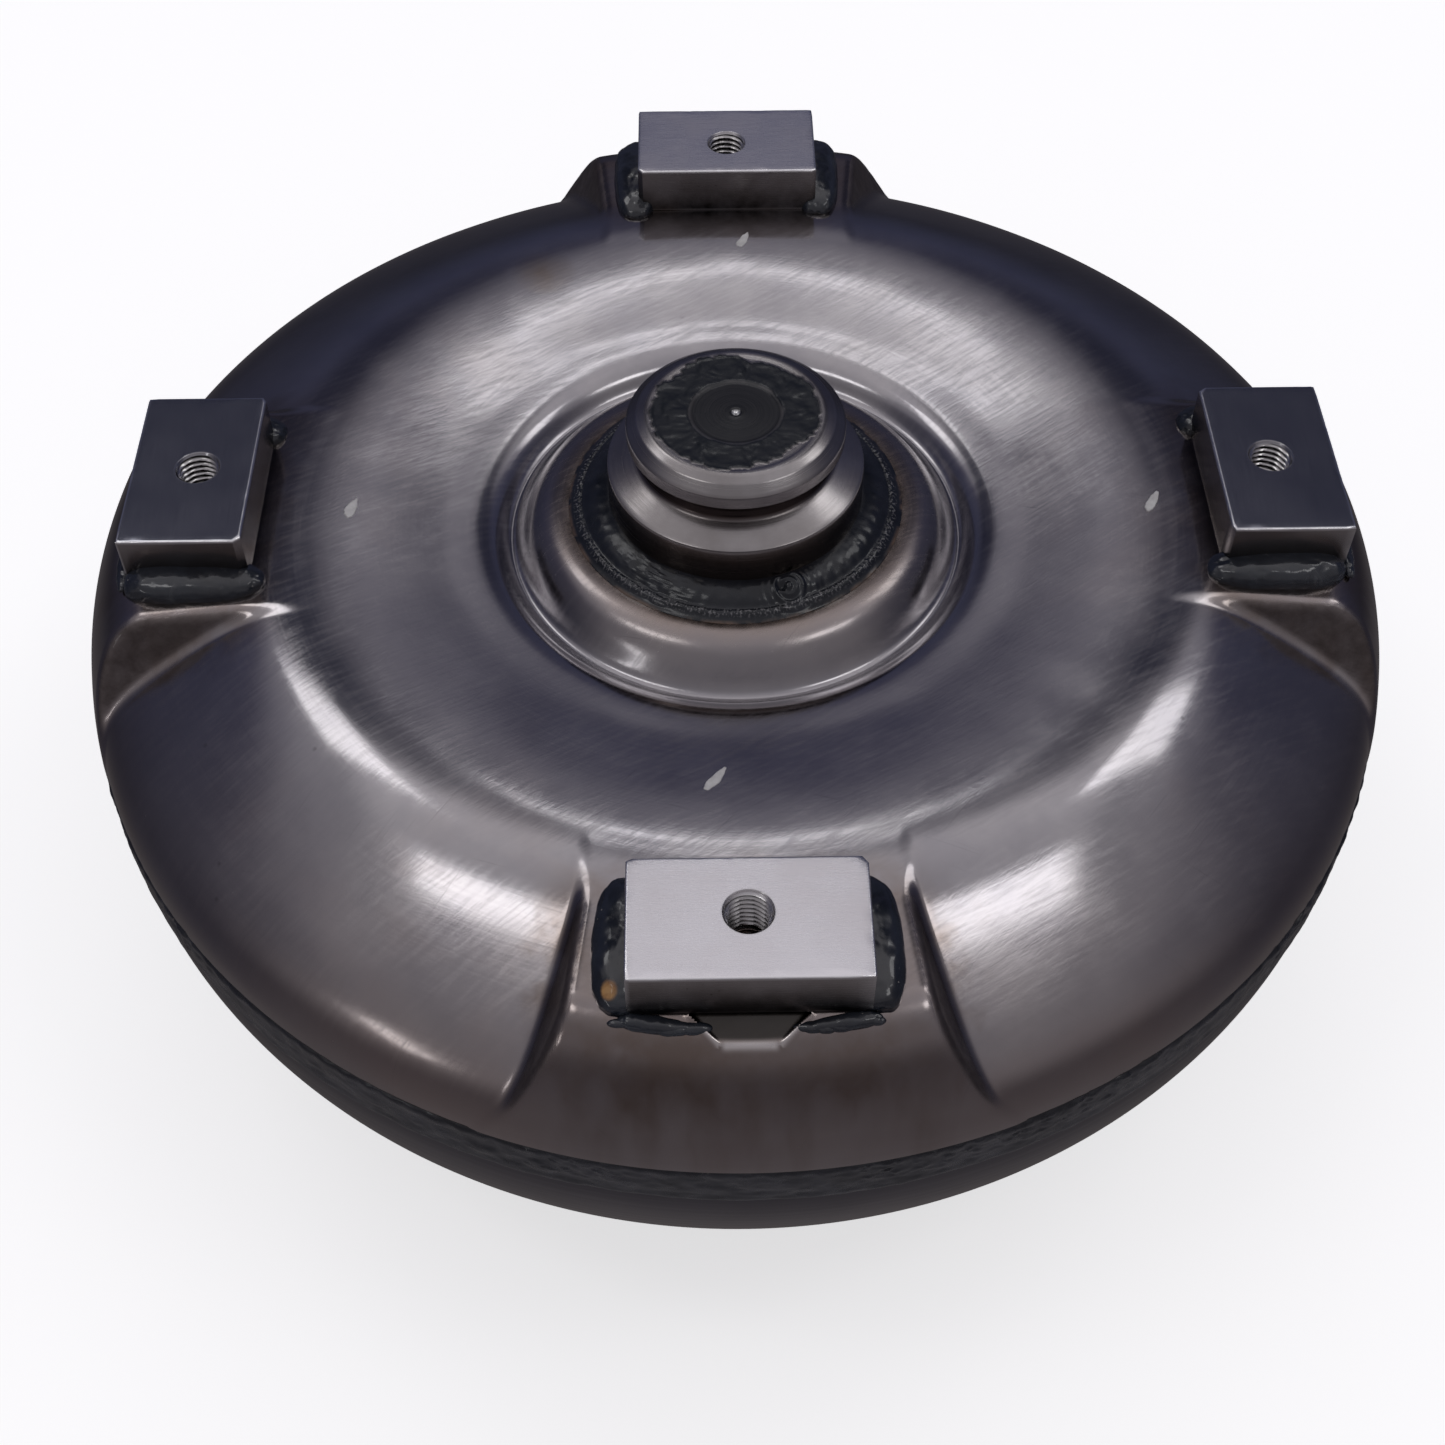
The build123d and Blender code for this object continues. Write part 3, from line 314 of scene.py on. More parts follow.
def mat_cover():
    m = N("cover_steel")
    r, a, z = m.polar()
    lay = m.noise(m.comb(m.math("MULTIPLY", r, 1.6), m.math("MULTIPLY", a, 3.0), 0.0), 1.0, 3.0, 0.6)
    vx, vy, vz = m.xyz()

    def brushed(ang, across, along, seed, detail=2.0):
        c, s = math.cos(ang), math.sin(ang)
        u = m.math("ADD", m.math("MULTIPLY", vx, c * 1000 * along), m.math("MULTIPLY", vy, s * 1000 * along))
        w = m.math("ADD", m.math("MULTIPLY", vx, -s * 1000 * across), m.math("MULTIPLY", vy, c * 1000 * across))
        return m.noise(m.comb(u, w, seed), 1.0, detail, 0.6)

    b1 = brushed(0.9, 2.6, 0.03, 3.0)
    b2 = brushed(-0.35, 2.2, 0.035, 11.0)
    b3 = brushed(0.55, 0.8, 0.10, 21.0, 4.0)
    fine = m.noise(m.obj, 900.0, 3.0, 0.6)
    blot = m.noise(m.obj, 14.0, 4.0, 0.6, 0.4)
    blot2 = m.noise(m.obj, 45.0, 5.0, 0.6)
    blot3 = m.noise(m.obj, 220.0, 5.0, 0.65, 0.3)
    outer = m.map(r, 118.0, 150.0, 0.0, 1.0)
    rim = m.map(r, 148.0, 156.5, 0.0, 1.0)
    base = m.mix(m.map(blot2, 0.35, 0.7), (0.36, 0.345, 0.365), (0.45, 0.43, 0.44))
    brown = m.math("MULTIPLY", m.math("ADD", m.math("MULTIPLY", outer, 0.5), m.math("MULTIPLY", rim, 0.5)), m.map(blot, 0.3, 0.75, 0.5, 1.0))
    base = m.mix(brown, base, (0.34, 0.275, 0.255))
    # pinkish worn patches, mostly over the hump
    pink = m.math("MULTIPLY", m.map(blot, 0.52, 0.68), m.map(r, 60.0, 100.0))
    base = m.mix(m.math("MULTIPLY", pink, 0.35), base, (0.47, 0.40, 0.38))
    wall, heat, heat_halo_and_shade, notch, glint = (m.attr(k) for k in ("wall", "heat", "heat_halo_and_shade", "notch", "glint"))
    # brown-dark heat tint round the welds, with painted shade on the pads' outer shoulders
    base = m.mix(m.math("MULTIPLY", heat_halo_and_shade, m.map(blot2, 0.3, 0.62, 0.25, 0.8)), base, (0.19, 0.135, 0.105))
    # painted shade: the steep pad side walls are painted darker, in patches
    base = m.mix(m.math("MULTIPLY", wall, m.map(blot3, 0.3, 0.7, 0.55, 0.95)), base, (0.105, 0.085, 0.08))
    soot = m.mix(m.map(blot3, 0.56, 0.66), (0.022, 0.019, 0.018), (0.20, 0.11, 0.05))
    base = m.mix(m.math("MULTIPLY", heat, m.map(blot3, 0.32, 0.52, 0.45, 1.0)), base, soot)
    # painted shade: the struck flat under the lug's edge is painted near black
    base = m.mix(m.math("MULTIPLY", notch, 0.95), base, (0.040, 0.036, 0.032))
    # painted highlight: a light line along the lip and foot of the struck flat
    base = m.mix(glint, base, (0.85, 0.80, 0.78))
    stain = m.math("MULTIPLY", m.spot(-49, 86, 1.0, 9.0), m.map(blot2, 0.3, 0.6, 0.2, 0.8))
    base = m.mix(stain, base, (0.26, 0.18, 0.10))
    crown = m.math("MULTIPLY", m.map(r, 39.5, 50.0, 1.0, 0.0), m.map(blot2, 0.3, 0.7, 0.7, 1.0))
    base = m.mix(m.math("MULTIPLY", crown, 0.9), base, (0.27, 0.195, 0.15))
    edge = m.math("MULTIPLY", m.map(r, 39.6, 41.6, 1.0, 0.0), m.map(blot3, 0.35, 0.6, 0.4, 1.0))
    base = m.mix(m.math("MULTIPLY", edge, 0.9), base, (0.035, 0.025, 0.02))
    # long faint scratches and dark pinpoints
    scr = m.math("MAXIMUM", m.map(b1, 0.70, 0.76), m.map(b2, 0.71, 0.77))
    base = m.mix(m.math("MULTIPLY", scr, 0.35), base, (0.13, 0.12, 0.125))
    pin = m.map(m.voronoi(m.obj, 95.0), 0.035, 0.06, 1.0, 0.0)
    pin = m.math("MULTIPLY", pin, m.map(m.noise(m.obj, 25.0, 2.0), 0.60, 0.66))
    base = m.mix(m.math("MULTIPLY", pin, 0.8), base, (0.04, 0.035, 0.035))
    rough = m.math("ADD", m.map(lay, 0.3, 0.7, 0.09, 0.14), m.map(blot2, 0.3, 0.7, -0.02, 0.03))
    rough = m.math("ADD", rough, m.map(b3, 0.45, 0.62, 0.0, 0.06))
    rough = m.math("ADD", rough, m.math("MULTIPLY", outer, 0.06))
    dull = m.math("MAXIMUM", m.math("MULTIPLY", wall, 0.35), m.math("MAXIMUM", m.math("MULTIPLY", heat, 0.15), m.math("MULTIPLY", notch, 0.15)))
    rough = m.math("ADD", rough, dull)
    rough = m.math("ADD", rough, m.map(r, 40.0, 62.0, 0.13, 0.0))
    h = m.math("ADD", m.math("MULTIPLY", lay, 0.45), m.math("ADD", m.math("MULTIPLY", b1, 0.35), m.math("MULTIPLY", b2, 0.3)))
    n1 = m.bump(h, 0.3, 0.03)
    n2 = m.bump(fine, 0.10, 0.02, n1)
    n3 = m.bump(b3, 0.20, 0.06, n2)
    n4 = m.bump(m.math("MULTIPLY", blot3, m.math("MAXIMUM", wall, heat)), 0.5, 0.25, n3)
    return m.set(Base_Color=base, Metallic=1.0, Roughness=rough, Normal=n4, Coat_Weight=0.4, Coat_Roughness=0.06, Coat_IOR=1.5)


def mat_shell():
    m = N("shell_steel")
    r, a, z = m.polar()
    lay = m.noise(m.comb(m.math("MULTIPLY", r, 0.7), m.math("MULTIPLY", a, 1.5), m.math("MULTIPLY", z, 0.9)), 1.0, 3.0, 0.6)
    blot = m.noise(m.obj, 20.0, 5.0, 0.6, 0.3)
    base = m.mix(m.map(blot, 0.3, 0.7), (0.20, 0.185, 0.19), (0.30, 0.28, 0.29))
    top = m.map(z, -76.0, -60.0, 0.0, 1.0)
    base = m.mix(m.math("MULTIPLY", top, 0.85), base, (0.075, 0.073, 0.092))
    rough = m.map(lay, 0.3, 0.7, 0.28, 0.42)
    n1 = m.bump(lay, 0.25, 0.04)
    n2 = m.bump(m.noise(m.obj, 700.0, 3.0), 0.1, 0.02, n1)
    return m.set(Base_Color=base, Metallic=1.0, Roughness=rough, Normal=n2, Coat_Weight=0.25, Coat_Roughness=0.15)


def mat_hub():
    m = N("hub_turned_steel")
    r, a, z = m.polar()
    turn = m.noise(m.comb(m.math("MULTIPLY", r, 4.5), m.math("MULTIPLY", a, 0.25), m.math("MULTIPLY", z, 4.5)), 1.0, 3.0, 0.65)
    blot = m.noise(m.obj, 60.0, 5.0, 0.6)
    base = m.mix(m.map(blot, 0.3, 0.7), (0.27, 0.25, 0.245), (0.39, 0.37, 0.37))
    # the cylinder below the shoulder is tinted dark brown, and painted shade darkens the shoulder and cylinder towards
    # the weld ring at the bottom
    low = m.map(z, -7.5, 3.0, 1.0, 0.0)
    low = m.math("MULTIPLY", low, m.map(blot, 0.35, 0.65, 0.45, 1.0))
    base = m.mix(m.math("MULTIPLY", m.map(z, -3.0, 0.9, 1.0, 0.0), 0.8), base, (0.12, 0.09, 0.075))
    base = m.mix(m.math("MULTIPLY", low, 0.45), base, (0.16, 0.13, 0.12))
    # painted shade: the undercut groove under the top land is darkened almost to black
    groove = m.map(r, 22.6, 24.2, 1.0, 0.0)
    groove = m.math("MULTIPLY", groove, m.map(z, 8.6, 9.2, 1.0, 0.0))
    base = m.mix(m.math("MULTIPLY", groove, 0.92), base, (0.045, 0.03, 0.027))
    # smeared black paint on the end face, kept by an attribute
    paint = m.attr("paint")
    base = m.mix(paint, base, (0.012, 0.015, 0.019))
    disc = m.map(r, 9.9, 10.6, 1.0, 0.0)
    disc = m.math("MULTIPLY", disc, m.map(z, 12.0, 13.0))
    base = m.mix(m.math("MULTIPLY", disc, m.map(turn, 0.3, 0.7, 0.80, 1.0)), base, (0.020, 0.022, 0.025))
    base = m.mix(m.math("MULTIPLY", m.map(r, 0.5, 1.1, 1.0, 0.0), m.map(z, 12.0, 13.0)), base, (0.9, 0.9, 0.9))
    metal = m.math("SUBTRACT", 1.0, m.math("MULTIPLY", paint, 1.0), clamp=True)
    rough = m.mixf(paint, m.map(turn, 0.3, 0.7, 0.15, 0.28), 0.14)
    n1 = m.bump(turn, 0.30, 0.025)
    smear = m.noise(m.obj, 90.0, 3.0, 0.5, 1.2)
    n2 = m.bump(m.math("MULTIPLY", smear, paint), 0.15, 0.25, n1)
    return m.set(Base_Color=base, Metallic=metal, Roughness=rough, Normal=n2)


def mat_lug(name, ang, dark):
    m = N(name)
    vx, vy, vz = m.xyz()
    c, s = math.cos(ang), math.sin(ang)
    u = m.math("ADD", m.math("MULTIPLY", vx, c * 1000), m.math("MULTIPLY", vy, s * 1000))
    w = m.math("ADD", m.math("MULTIPLY", vx, -s * 1000), m.math("MULTIPLY", vy, c * 1000))
    zz = m.math("MULTIPLY", vz, 1000.0)
    fine = m.noise(m.comb(m.math("MULTIPLY", u, 0.10), m.math("MULTIPLY", w, 7.0), m.math("MULTIPLY", zz, 5.0)), 1.0, 3.0, 0.65)
    wide = m.noise(m.comb(m.math("MULTIPLY", u, 0.03), m.math("MULTIPLY", w, 0.5), m.math("MULTIPLY", zz, 0.3)), 1.0, 2.0, 0.5)
    blot = m.noise(m.obj, 120.0, 4.0, 0.6)
    big = m.noise(m.obj, 35.0, 3.0, 0.6)
    wear = m.attr("wear")
    # painted shade: the dark copy gets a far darker base colour than the lit copy of the same steel
    a = (0.86, 0.84, 0.87) if not dark else (0.36, 0.365, 0.41)
    b = (0.95, 0.93, 0.96) if not dark else (0.42, 0.425, 0.47)
    base = m.mix(m.math("MULTIPLY", m.map(fine, 0.3, 0.7), 0.7), a, b)
    base = m.mix(m.math("MULTIPLY", m.map(big, 0.45, 0.7), 0.25), base, (0.80, 0.72, 0.70) if not dark else (0.24, 0.25, 0.30))
    # painted shade: the sides are painted darker than the top, and near black down by the weld
    side = m.attr("side")
    low = m.map(zz, -11.5, -1.5, 0.0, 1.0)
    sidec = m.mix(low, (0.010, 0.009, 0.009), (0.34, 0.31, 0.30))
    base = m.mix(m.math("MULTIPLY", side, m.map(blot, 0.25, 0.7, 0.8, 1.0)), base, sidec)
    spk = m.math("MULTIPLY", m.map(m.voronoi(m.obj, 330.0), 0.04, 0.08, 1.0, 0.0), m.map(m.noise(m.obj, 60.0, 2.0), 0.60, 0.66))
    base = m.mix(m.math("MULTIPLY", spk, 0.8), base, (0.05, 0.035, 0.03))
    edge = m.math("MULTIPLY", wear, m.map(blot, 0.3, 0.6, 0.5, 1.0))
    base = m.mix(edge, base, (0.95, 0.94, 0.95))
    # painted light and shade in the hole: the thread crests are painted light grey and the roots near black
    bore = m.attr("bore")
    base = m.mix(bore, base, (0.62, 0.60, 0.60))
    base = m.mix(m.attr("root"), base, (0.012, 0.012, 0.012))
    rough = m.math("ADD", m.map(fine, 0.3, 0.7, 0.22, 0.30) if not dark else m.map(fine, 0.3, 0.7, 0.15, 0.20), m.map(big, 0.3, 0.7, -0.02, 0.05))
    n1 = m.bump(fine, 0.3 if not dark else 0.12, 0.025)
    n2 = m.bump(wide, 0.15, 0.05, n1)
    return m.set(Base_Color=base, Metallic=1.0, Roughness=rough, Normal=n2)


def mat_weld():
    m = N("weld_black_paint")
    blot = m.noise(m.obj, 90.0, 4.0, 0.55, 0.8)
    tear = m.noise(m.obj, 210.0, 4.0, 0.6, 1.2)
    dust = m.noise(m.obj, 420.0, 4.0, 0.7)
    base = m.mix(m.map(blot, 0.35, 0.65), (0.007, 0.009, 0.014), (0.018, 0.023, 0.032))
    base = m.mix(m.math("MULTIPLY", m.map(tear, 0.62, 0.72), 0.2), base, (0.12, 0.12, 0.125))
    # painted highlights: small light speckles stand in for glints on the black paint
    spk = m.math("MULTIPLY", m.map(m.voronoi(m.obj, 800.0), 0.10, 0.16, 1.0, 0.0), m.map(m.noise(m.obj, 130.0, 2.0), 0.64, 0.70))
    base = m.mix(m.math("MULTIPLY", spk, 0.6), base, (0.45, 0.42, 0.38))
    rust = m.attr("rust")
    base = m.mix(rust, base, m.mix(m.map(dust, 0.4, 0.6), (0.30, 0.13, 0.03), (0.50, 0.27, 0.09)))
    rough = m.math("ADD", m.map(dust, 0.3, 0.7, 0.10, 0.22), m.math("MULTIPLY", rust, 0.45))
    n1 = m.bump(tear, 0.22, 0.3)
    return m.set(Base_Color=base, Metallic=0.0, Roughness=rough, Normal=n1, Specular_IOR_Level=0.6, Coat_Weight=0.6, Coat_Roughness=0.05)


def mat_hubweld():
    m = N("hub_weld_paint")
    r, a, z = m.polar()
    blot = m.noise(m.obj, 150.0, 4.0, 0.55, 0.4)
    base = m.mix(m.map(blot, 0.35, 0.65), (0.006, 0.008, 0.012), (0.016, 0.019, 0.026))
    ridge = m.math("MULTIPLY", m.map(r, 36.2, 37.0), m.map(r, 37.6, 38.6, 1.0, 0.0))
    dots = m.map(m.noise(m.comb(m.math("MULTIPLY", r, 1.5), m.math("MULTIPLY", a, 60.0), 0.0), 1.0, 2.0), 0.53, 0.62)
    base = m.mix(m.math("MULTIPLY", m.math("MULTIPLY", ridge, dots), 0.40), base, (0.42, 0.41, 0.42))
    rim = m.math("MULTIPLY", m.map(r, 38.8, 39.6), m.map(blot, 0.45, 0.6))
    base = m.mix(m.math("MULTIPLY", rim, 0.8), base, (0.20, 0.13, 0.09))
    rough = m.map(m.noise(m.obj, 320.0, 4.0), 0.3, 0.7, 0.12, 0.30)
    n1 = m.bump(m.noise(m.obj, 240.0, 3.0, 0.5), 0.35, 0.3)
    return m.set(Base_Color=base, Metallic=0.0, Roughness=rough, Normal=n1, Specular_IOR_Level=0.4, Coat_Weight=0.25, Coat_Roughness=0.08)


def mat_girth():
    m = N("girth_weld_paint")
    r, a, z = m.polar()
    blot = m.noise(m.obj, 90.0, 4.0, 0.55, 0.4)
    base = m.mix(m.map(blot, 0.35, 0.65), (0.006, 0.007, 0.010), (0.016, 0.017, 0.023))
    spk = m.map(m.voronoi(m.comb(m.math("MULTIPLY", a, 157.0), z, 0.0), 0.45), 0.06, 0.15, 1.0, 0.0)
    where = m.math("MULTIPLY", m.map(m.noise(m.comb(m.math("MULTIPLY", a, 9.0), 0.0, 0.0), 1.0, 2.0), 0.58, 0.70), m.map(z, -51.5, -49.5))
    spk = m.math("MULTIPLY", spk, where)
    base = m.mix(m.math("MULTIPLY", spk, 0.65), base, (0.44, 0.38, 0.34))
    rough = m.map(m.noise(m.obj, 260.0, 4.0), 0.3, 0.7, 0.20, 0.42)
    n1 = m.bump(m.noise(m.obj, 170.0, 3.0, 0.5), 0.4, 0.4)
    return m.set(Base_Color=base, Metallic=0.0, Roughness=rough, Normal=n1, Specular_IOR_Level=0.5, Coat_Weight=0.3, Coat_Roughness=0.12)


def mat_mark():
    m = N("white_marker")
    blot = m.noise(m.obj, 500.0, 4.0, 0.6)
    base = m.mix(m.map(blot, 0.3, 0.7), (0.62, 0.61, 0.60), (0.82, 0.81, 0.80))
    n1 = m.bump(blot, 0.3, 0.1)
    return m.set(Base_Color=base, Roughness=m.map(blot, 0.3, 0.7, 0.4, 0.6), Normal=n1)


def mat_metal(name, c0, c1, r0, r1, scale=60.0, metallic=1.0, bump=0.03, lay=None):
    m = N(name)
    r, a, z = m.polar()
    vec = m.obj
    blot = m.noise(vec, scale, 5.0, 0.6)
    if lay == "turned":
        g = m.noise(m.comb(m.math("MULTIPLY", r, 3.5), m.math("MULTIPLY", a, 0.3), m.math("MULTIPLY", z, 3.5)), 1.0, 3.0, 0.6)
    else:
        g = m.noise(vec, scale * 9.0, 3.0, 0.6)
    base = m.mix(m.map(blot, 0.3, 0.7), c0, c1)
    n1 = m.bump(g, 0.35, bump)
    return m.set(Base_Color=base, Metallic=metallic, Roughness=m.map(g, 0.3, 0.7, r0, r1), Normal=n1)


M = {
    "cover": mat_cover(),
    "shell": mat_shell(),
    "hub": mat_hub(),
    # painted light: the lugs share one ground finish, made as a painted-lit copy for the front and back lugs and a much
    # darker painted-shade copy for the left and right lugs
    "lug_fb": mat_lug("lug_ground_painted_lit", 0.0, False),
    "lug_lr": mat_lug("lug_ground_painted_shade", pi / 2, True),
    "weld": mat_weld(),
    "hubweld": mat_hubweld(),
    "girth": mat_girth(),
    "mark": mat_mark(),
    "sheet": mat_metal("sheet_steel", (0.34, 0.33, 0.33), (0.47, 0.46, 0.45), 0.28, 0.42),
    "turned": mat_metal("turned_steel", (0.50, 0.48, 0.46), (0.62, 0.60, 0.58), 0.18, 0.32, lay="turned"),
    "bearing": mat_metal("bearing_steel", (0.56, 0.56, 0.57), (0.66, 0.66, 0.67), 0.10, 0.20, lay="turned", bump=0.01),
    "phenolic": mat_metal("phenolic", (0.20, 0.10, 0.045), (0.30, 0.16, 0.08), 0.45, 0.62, 200.0, 0.0, 0.06),
    "seal": mat_metal("seal_plastic", (0.03, 0.03, 0.032), (0.06, 0.06, 0.062), 0.35, 0.5, 200.0, 0.0, 0.04),
    "lining": mat_metal("friction_paper", (0.13, 0.085, 0.05), (0.20, 0.14, 0.09), 0.75, 0.9, 400.0, 0.0, 0.15),
    "spring": mat_metal("spring_steel", (0.20, 0.20, 0.23), (0.30, 0.30, 0.33), 0.25, 0.38),
    "alu": mat_metal("cast_aluminium", (0.60, 0.60, 0.61), (0.72, 0.72, 0.72), 0.38, 0.52, 150.0, 1.0, 0.12),
}
by_slot = {"cover_steel": "cover", "turned_steel": "turned", "weld_paint": "weld", "ground_steel": "lug_fb", "sheet_steel": "sheet",
           "bearing_steel": "bearing", "phenolic": "phenolic", "seal_plastic": "seal", "lining": "lining", "spring_steel": "spring",
           "cast_aluminium": "alu"}
slot_of = {s["node"]: s["material_slot"] for s in frame["record"]["subparts"]}
for name, o in frame["nodes"].items():
    o.data.materials.clear()
    o.data.materials.append(M[by_slot[slot_of[name]]])

# ---------------------------------------------------------------- front cover

pad_z, pad_hw, pad_k = -12.7, 33.0, 0.68
crown = np.vstack([
    line([(30.0, -12.5), (39.8, -12.5)], 1.0),
    spline([(39.8, -12.5), (44.5, -13.4), (48.4, -16.4), (51.0, -19.9), (53.7, -22.0)], 26, (1, 0), (1, -0.12))[1:],
    spline([(53.7, -22.0), (57.0, -19.4), (60.0, -17.7), (64.0, -16.95)], 24, (1, 0.25), (1, 0.12))[1:],
])
dome_pts = [(64.0, -16.95), (70.0, -16.2), (76.0, -15.3), (82.0, -14.4), (88.0, -13.55), (94.0, -12.85), (103.0, -12.25),
            (112.0, -12.9), (120.0, -15.4), (130.0, -19.9), (140.0, -25.0), (148.0, -29.9), (153.0, -34.6), (156.0, -40.5),
            (156.9, -46.5)]
dome = spline(dome_pts, 1000, (1, 0.12), (0, -1))
padp = np.vstack([spline([(84.0, -24.0), (96.0, -16.6), (104.0, -13.5), (111.0, -12.75), (114.0, pad_z)], 80, (1, 0.6), (1, 0)),
                  line([(114.0, pad_z), (139.0, pad_z)], 0.5)[1:],
                  spline([(139.0, pad_z), (145.8, -15.6), (151.0, -22.4), (154.6, -31.0), (156.5, -43.0)], 200, (1, -0.08), (0, -1))[1:],
                  np.array([[156.5, -50.0]])])
CX, CZ = 100.0, -60.0


def polar_of(P):
    a = np.arctan2(P[:, 1] - CZ, P[:, 0] - CX)
    R = np.hypot(P[:, 0] - CX, P[:, 1] - CZ)
    o = np.argsort(a)
    return a[o], R[o]


da, dR = polar_of(dome)
pa, pR = polar_of(padp)

# ring parameter: samples along the dome, finer towards the rim where the pad walls end
s = np.r_[0, np.cumsum(np.hypot(*np.diff(dome, axis=0).T))]
q = np.r_[np.linspace(0, 37, 30)[:-1], np.linspace(37, 66, 34)[:-1], np.linspace(66, s[-1], 120)]
ring = np.stack([np.interp(q, s, dome[:, 0]), np.interp(q, s, dome[:, 1])], 1)
ring_a = np.arctan2(ring[:, 1] - CZ, ring[:, 0] - CX)

# angles round the cover, closer together near the pad walls
base_t = np.linspace(0, pi / 2, 331)[:-1]
dens = 1 + 1.8 * (np.exp(-((np.degrees(base_t) - 17.0) / 4.5) ** 2) + np.exp(-((np.degrees(base_t) - 73.0) / 4.5) ** 2))
dens = dens + 2.0 * (np.exp(-(np.degrees(base_t) / 5.0) ** 2) + np.exp(-((np.degrees(base_t) - 90.0) / 5.0) ** 2))
cum = np.r_[0, np.cumsum(dens)]
cum = cum / cum[-1] * (pi / 2)
quarter = np.interp(np.linspace(0, pi / 2, 331)[:-1], cum, np.linspace(0, pi / 2, len(cum)))
theta = np.concatenate([quarter + k * pi / 2 for k in range(4)])
NT = len(theta)

t0 = (np.round(theta / (pi / 2)) * (pi / 2))[None, :]
dth = theta[None, :] - t0
ca, sa = np.cos(ring_a)[:, None], np.sin(ring_a)[:, None]
Rd = np.interp(ring_a, da, dR)[:, None]
Rp = np.interp(ring_a, pa, pR)[:, None]


def parts_of(rho):
    r = CX + rho * ca
    z = CZ + rho * sa
    t = np.abs(r * np.sin(dth))
    zd = CZ + Rd * sa
    hw = pad_hw + pad_k * (pad_z - zd) - 0.5 * pad_k * (z - zd)
    return rho - Rp, (t - hw) * math.cos(math.atan(pad_k)), rho - Rd


def field(rho):
    p_, g_, d_ = parts_of(rho)
    return smin(d_, smax(p_, g_, 2.2), 2.0)


lo = np.broadcast_to(Rd - 2.0, (len(q), NT)).copy()
hi = np.broadcast_to(np.maximum(Rd, Rp) + 2.0, (len(q), NT)).copy()
for _ in range(26):
    mid = 0.5 * (lo + hi)
    f = field(mid)
    lo = np.where(f < 0, mid, lo)
    hi = np.where(f < 0, hi, mid)
rho = 0.5 * (lo + hi)
p_, g_, d_ = parts_of(rho)
Zr = CX + rho * ca
Zz = CZ + rho * sa
# wall marks the steep pad side walls; the cover colour paints them darker as painted shade
wall = sstep(-0.9, 0.2, g_ - p_) * sstep(0.5, 2.0, d_)
# flat struck into each pad's outer shoulder, a trapezoid under the lug's edge
tt = Zr * np.sin(dth)
rr = Zr * np.cos(dth)
prf = np.array(sorted(zip(CX + pR * np.cos(pa), CZ + pR * np.sin(pa)))).T
plane = float(np.interp(145.4, prf[0], prf[1])) - (rr - 145.4) * 0.28
halfw = 10.8 - (rr - 140.5) * 1.10
notch = sstep(0.6, -0.4, np.abs(tt) - halfw) * (rr > 137.0)
cut = (Zz > plane) & (rr > 137.0) & (rr < 146.2)
depth = np.where(cut, Zz - plane, 0.0)
Zz = Zz - depth * notch
# a lip raised along the sides and foot of the struck flat
lipd = np.exp(-((np.abs(tt) - halfw - 0.9) / 0.7) ** 2) * (rr > 140.0) * (rr < 145.8) * (np.abs(tt) < 13)
foot = np.exp(-((rr - 145.7) / 0.6) ** 2) * sstep(6.0, 4.6, np.abs(tt))
Zz = Zz + 0.28 * lipd * sstep(0.0, 0.6, depth + 0.6) * sstep(146.4, 144.5, rr)
# glint paints a highlight along the lip and the foot of the flat: painted highlight
glint = np.clip(lipd * 0.75 * sstep(141.5, 143.5, rr) + foot, 0, 1)
# the notch mask also carries painted shade: the cover colour paints the flat near black
notchm = notch * sstep(0.05, 0.5, depth)
# long soft unevenness of pressed sheet, smooth at the joins
xx, yy = Zr * np.cos(theta)[None, :], Zr * np.sin(theta)[None, :]
fade = sstep(0, 6, q)[:, None] * sstep(s[-1], s[-1] - 14, q)[:, None]
Zz = Zz + 0.07 * fbm(xx / 24.0, yy / 24.0, 0.3, 5, 2) * fade - 0.06 * fade
# the press drew the wall faces a little rough
Zz = Zz + 0.07 * wall * fbm(xx / 1.3, yy / 1.3, 0.0, 71, 3)
# soot, burnt paint and rust beside the welds, plus painted shade on each pad's outer shoulder outboard of the lug
ex = np.maximum(np.abs(rr - 125.0) - 15.5, 0)
ey = np.maximum(np.abs(tt) - 29.0, 0)
dw = np.hypot(ex, ey)
hn = fbm(xx / 5.0, yy / 5.0, 0.0, 31, 4)
onpad = np.abs(tt) < 52
side = sstep(99.0, 116.0, rr + 3.0 * hn)
heat = np.clip(sstep(8.5, 0.5, dw + 2.6 * hn), 0, 1) * onpad * side
heat_halo_and_shade = sstep(19.0, 3.0, dw + 4.0 * hn) * onpad * side
# painted shade: a dark band on the pad's outer shoulder just outboard of the lug
below = sstep(9.0, 0.0, np.abs(rr - 147.0)) * sstep(31.0, 18.0, np.abs(tt) + 2 * hn) * (rr > 138)
heat_halo_and_shade = np.clip(heat_halo_and_shade + 0.8 * below, 0, 1)

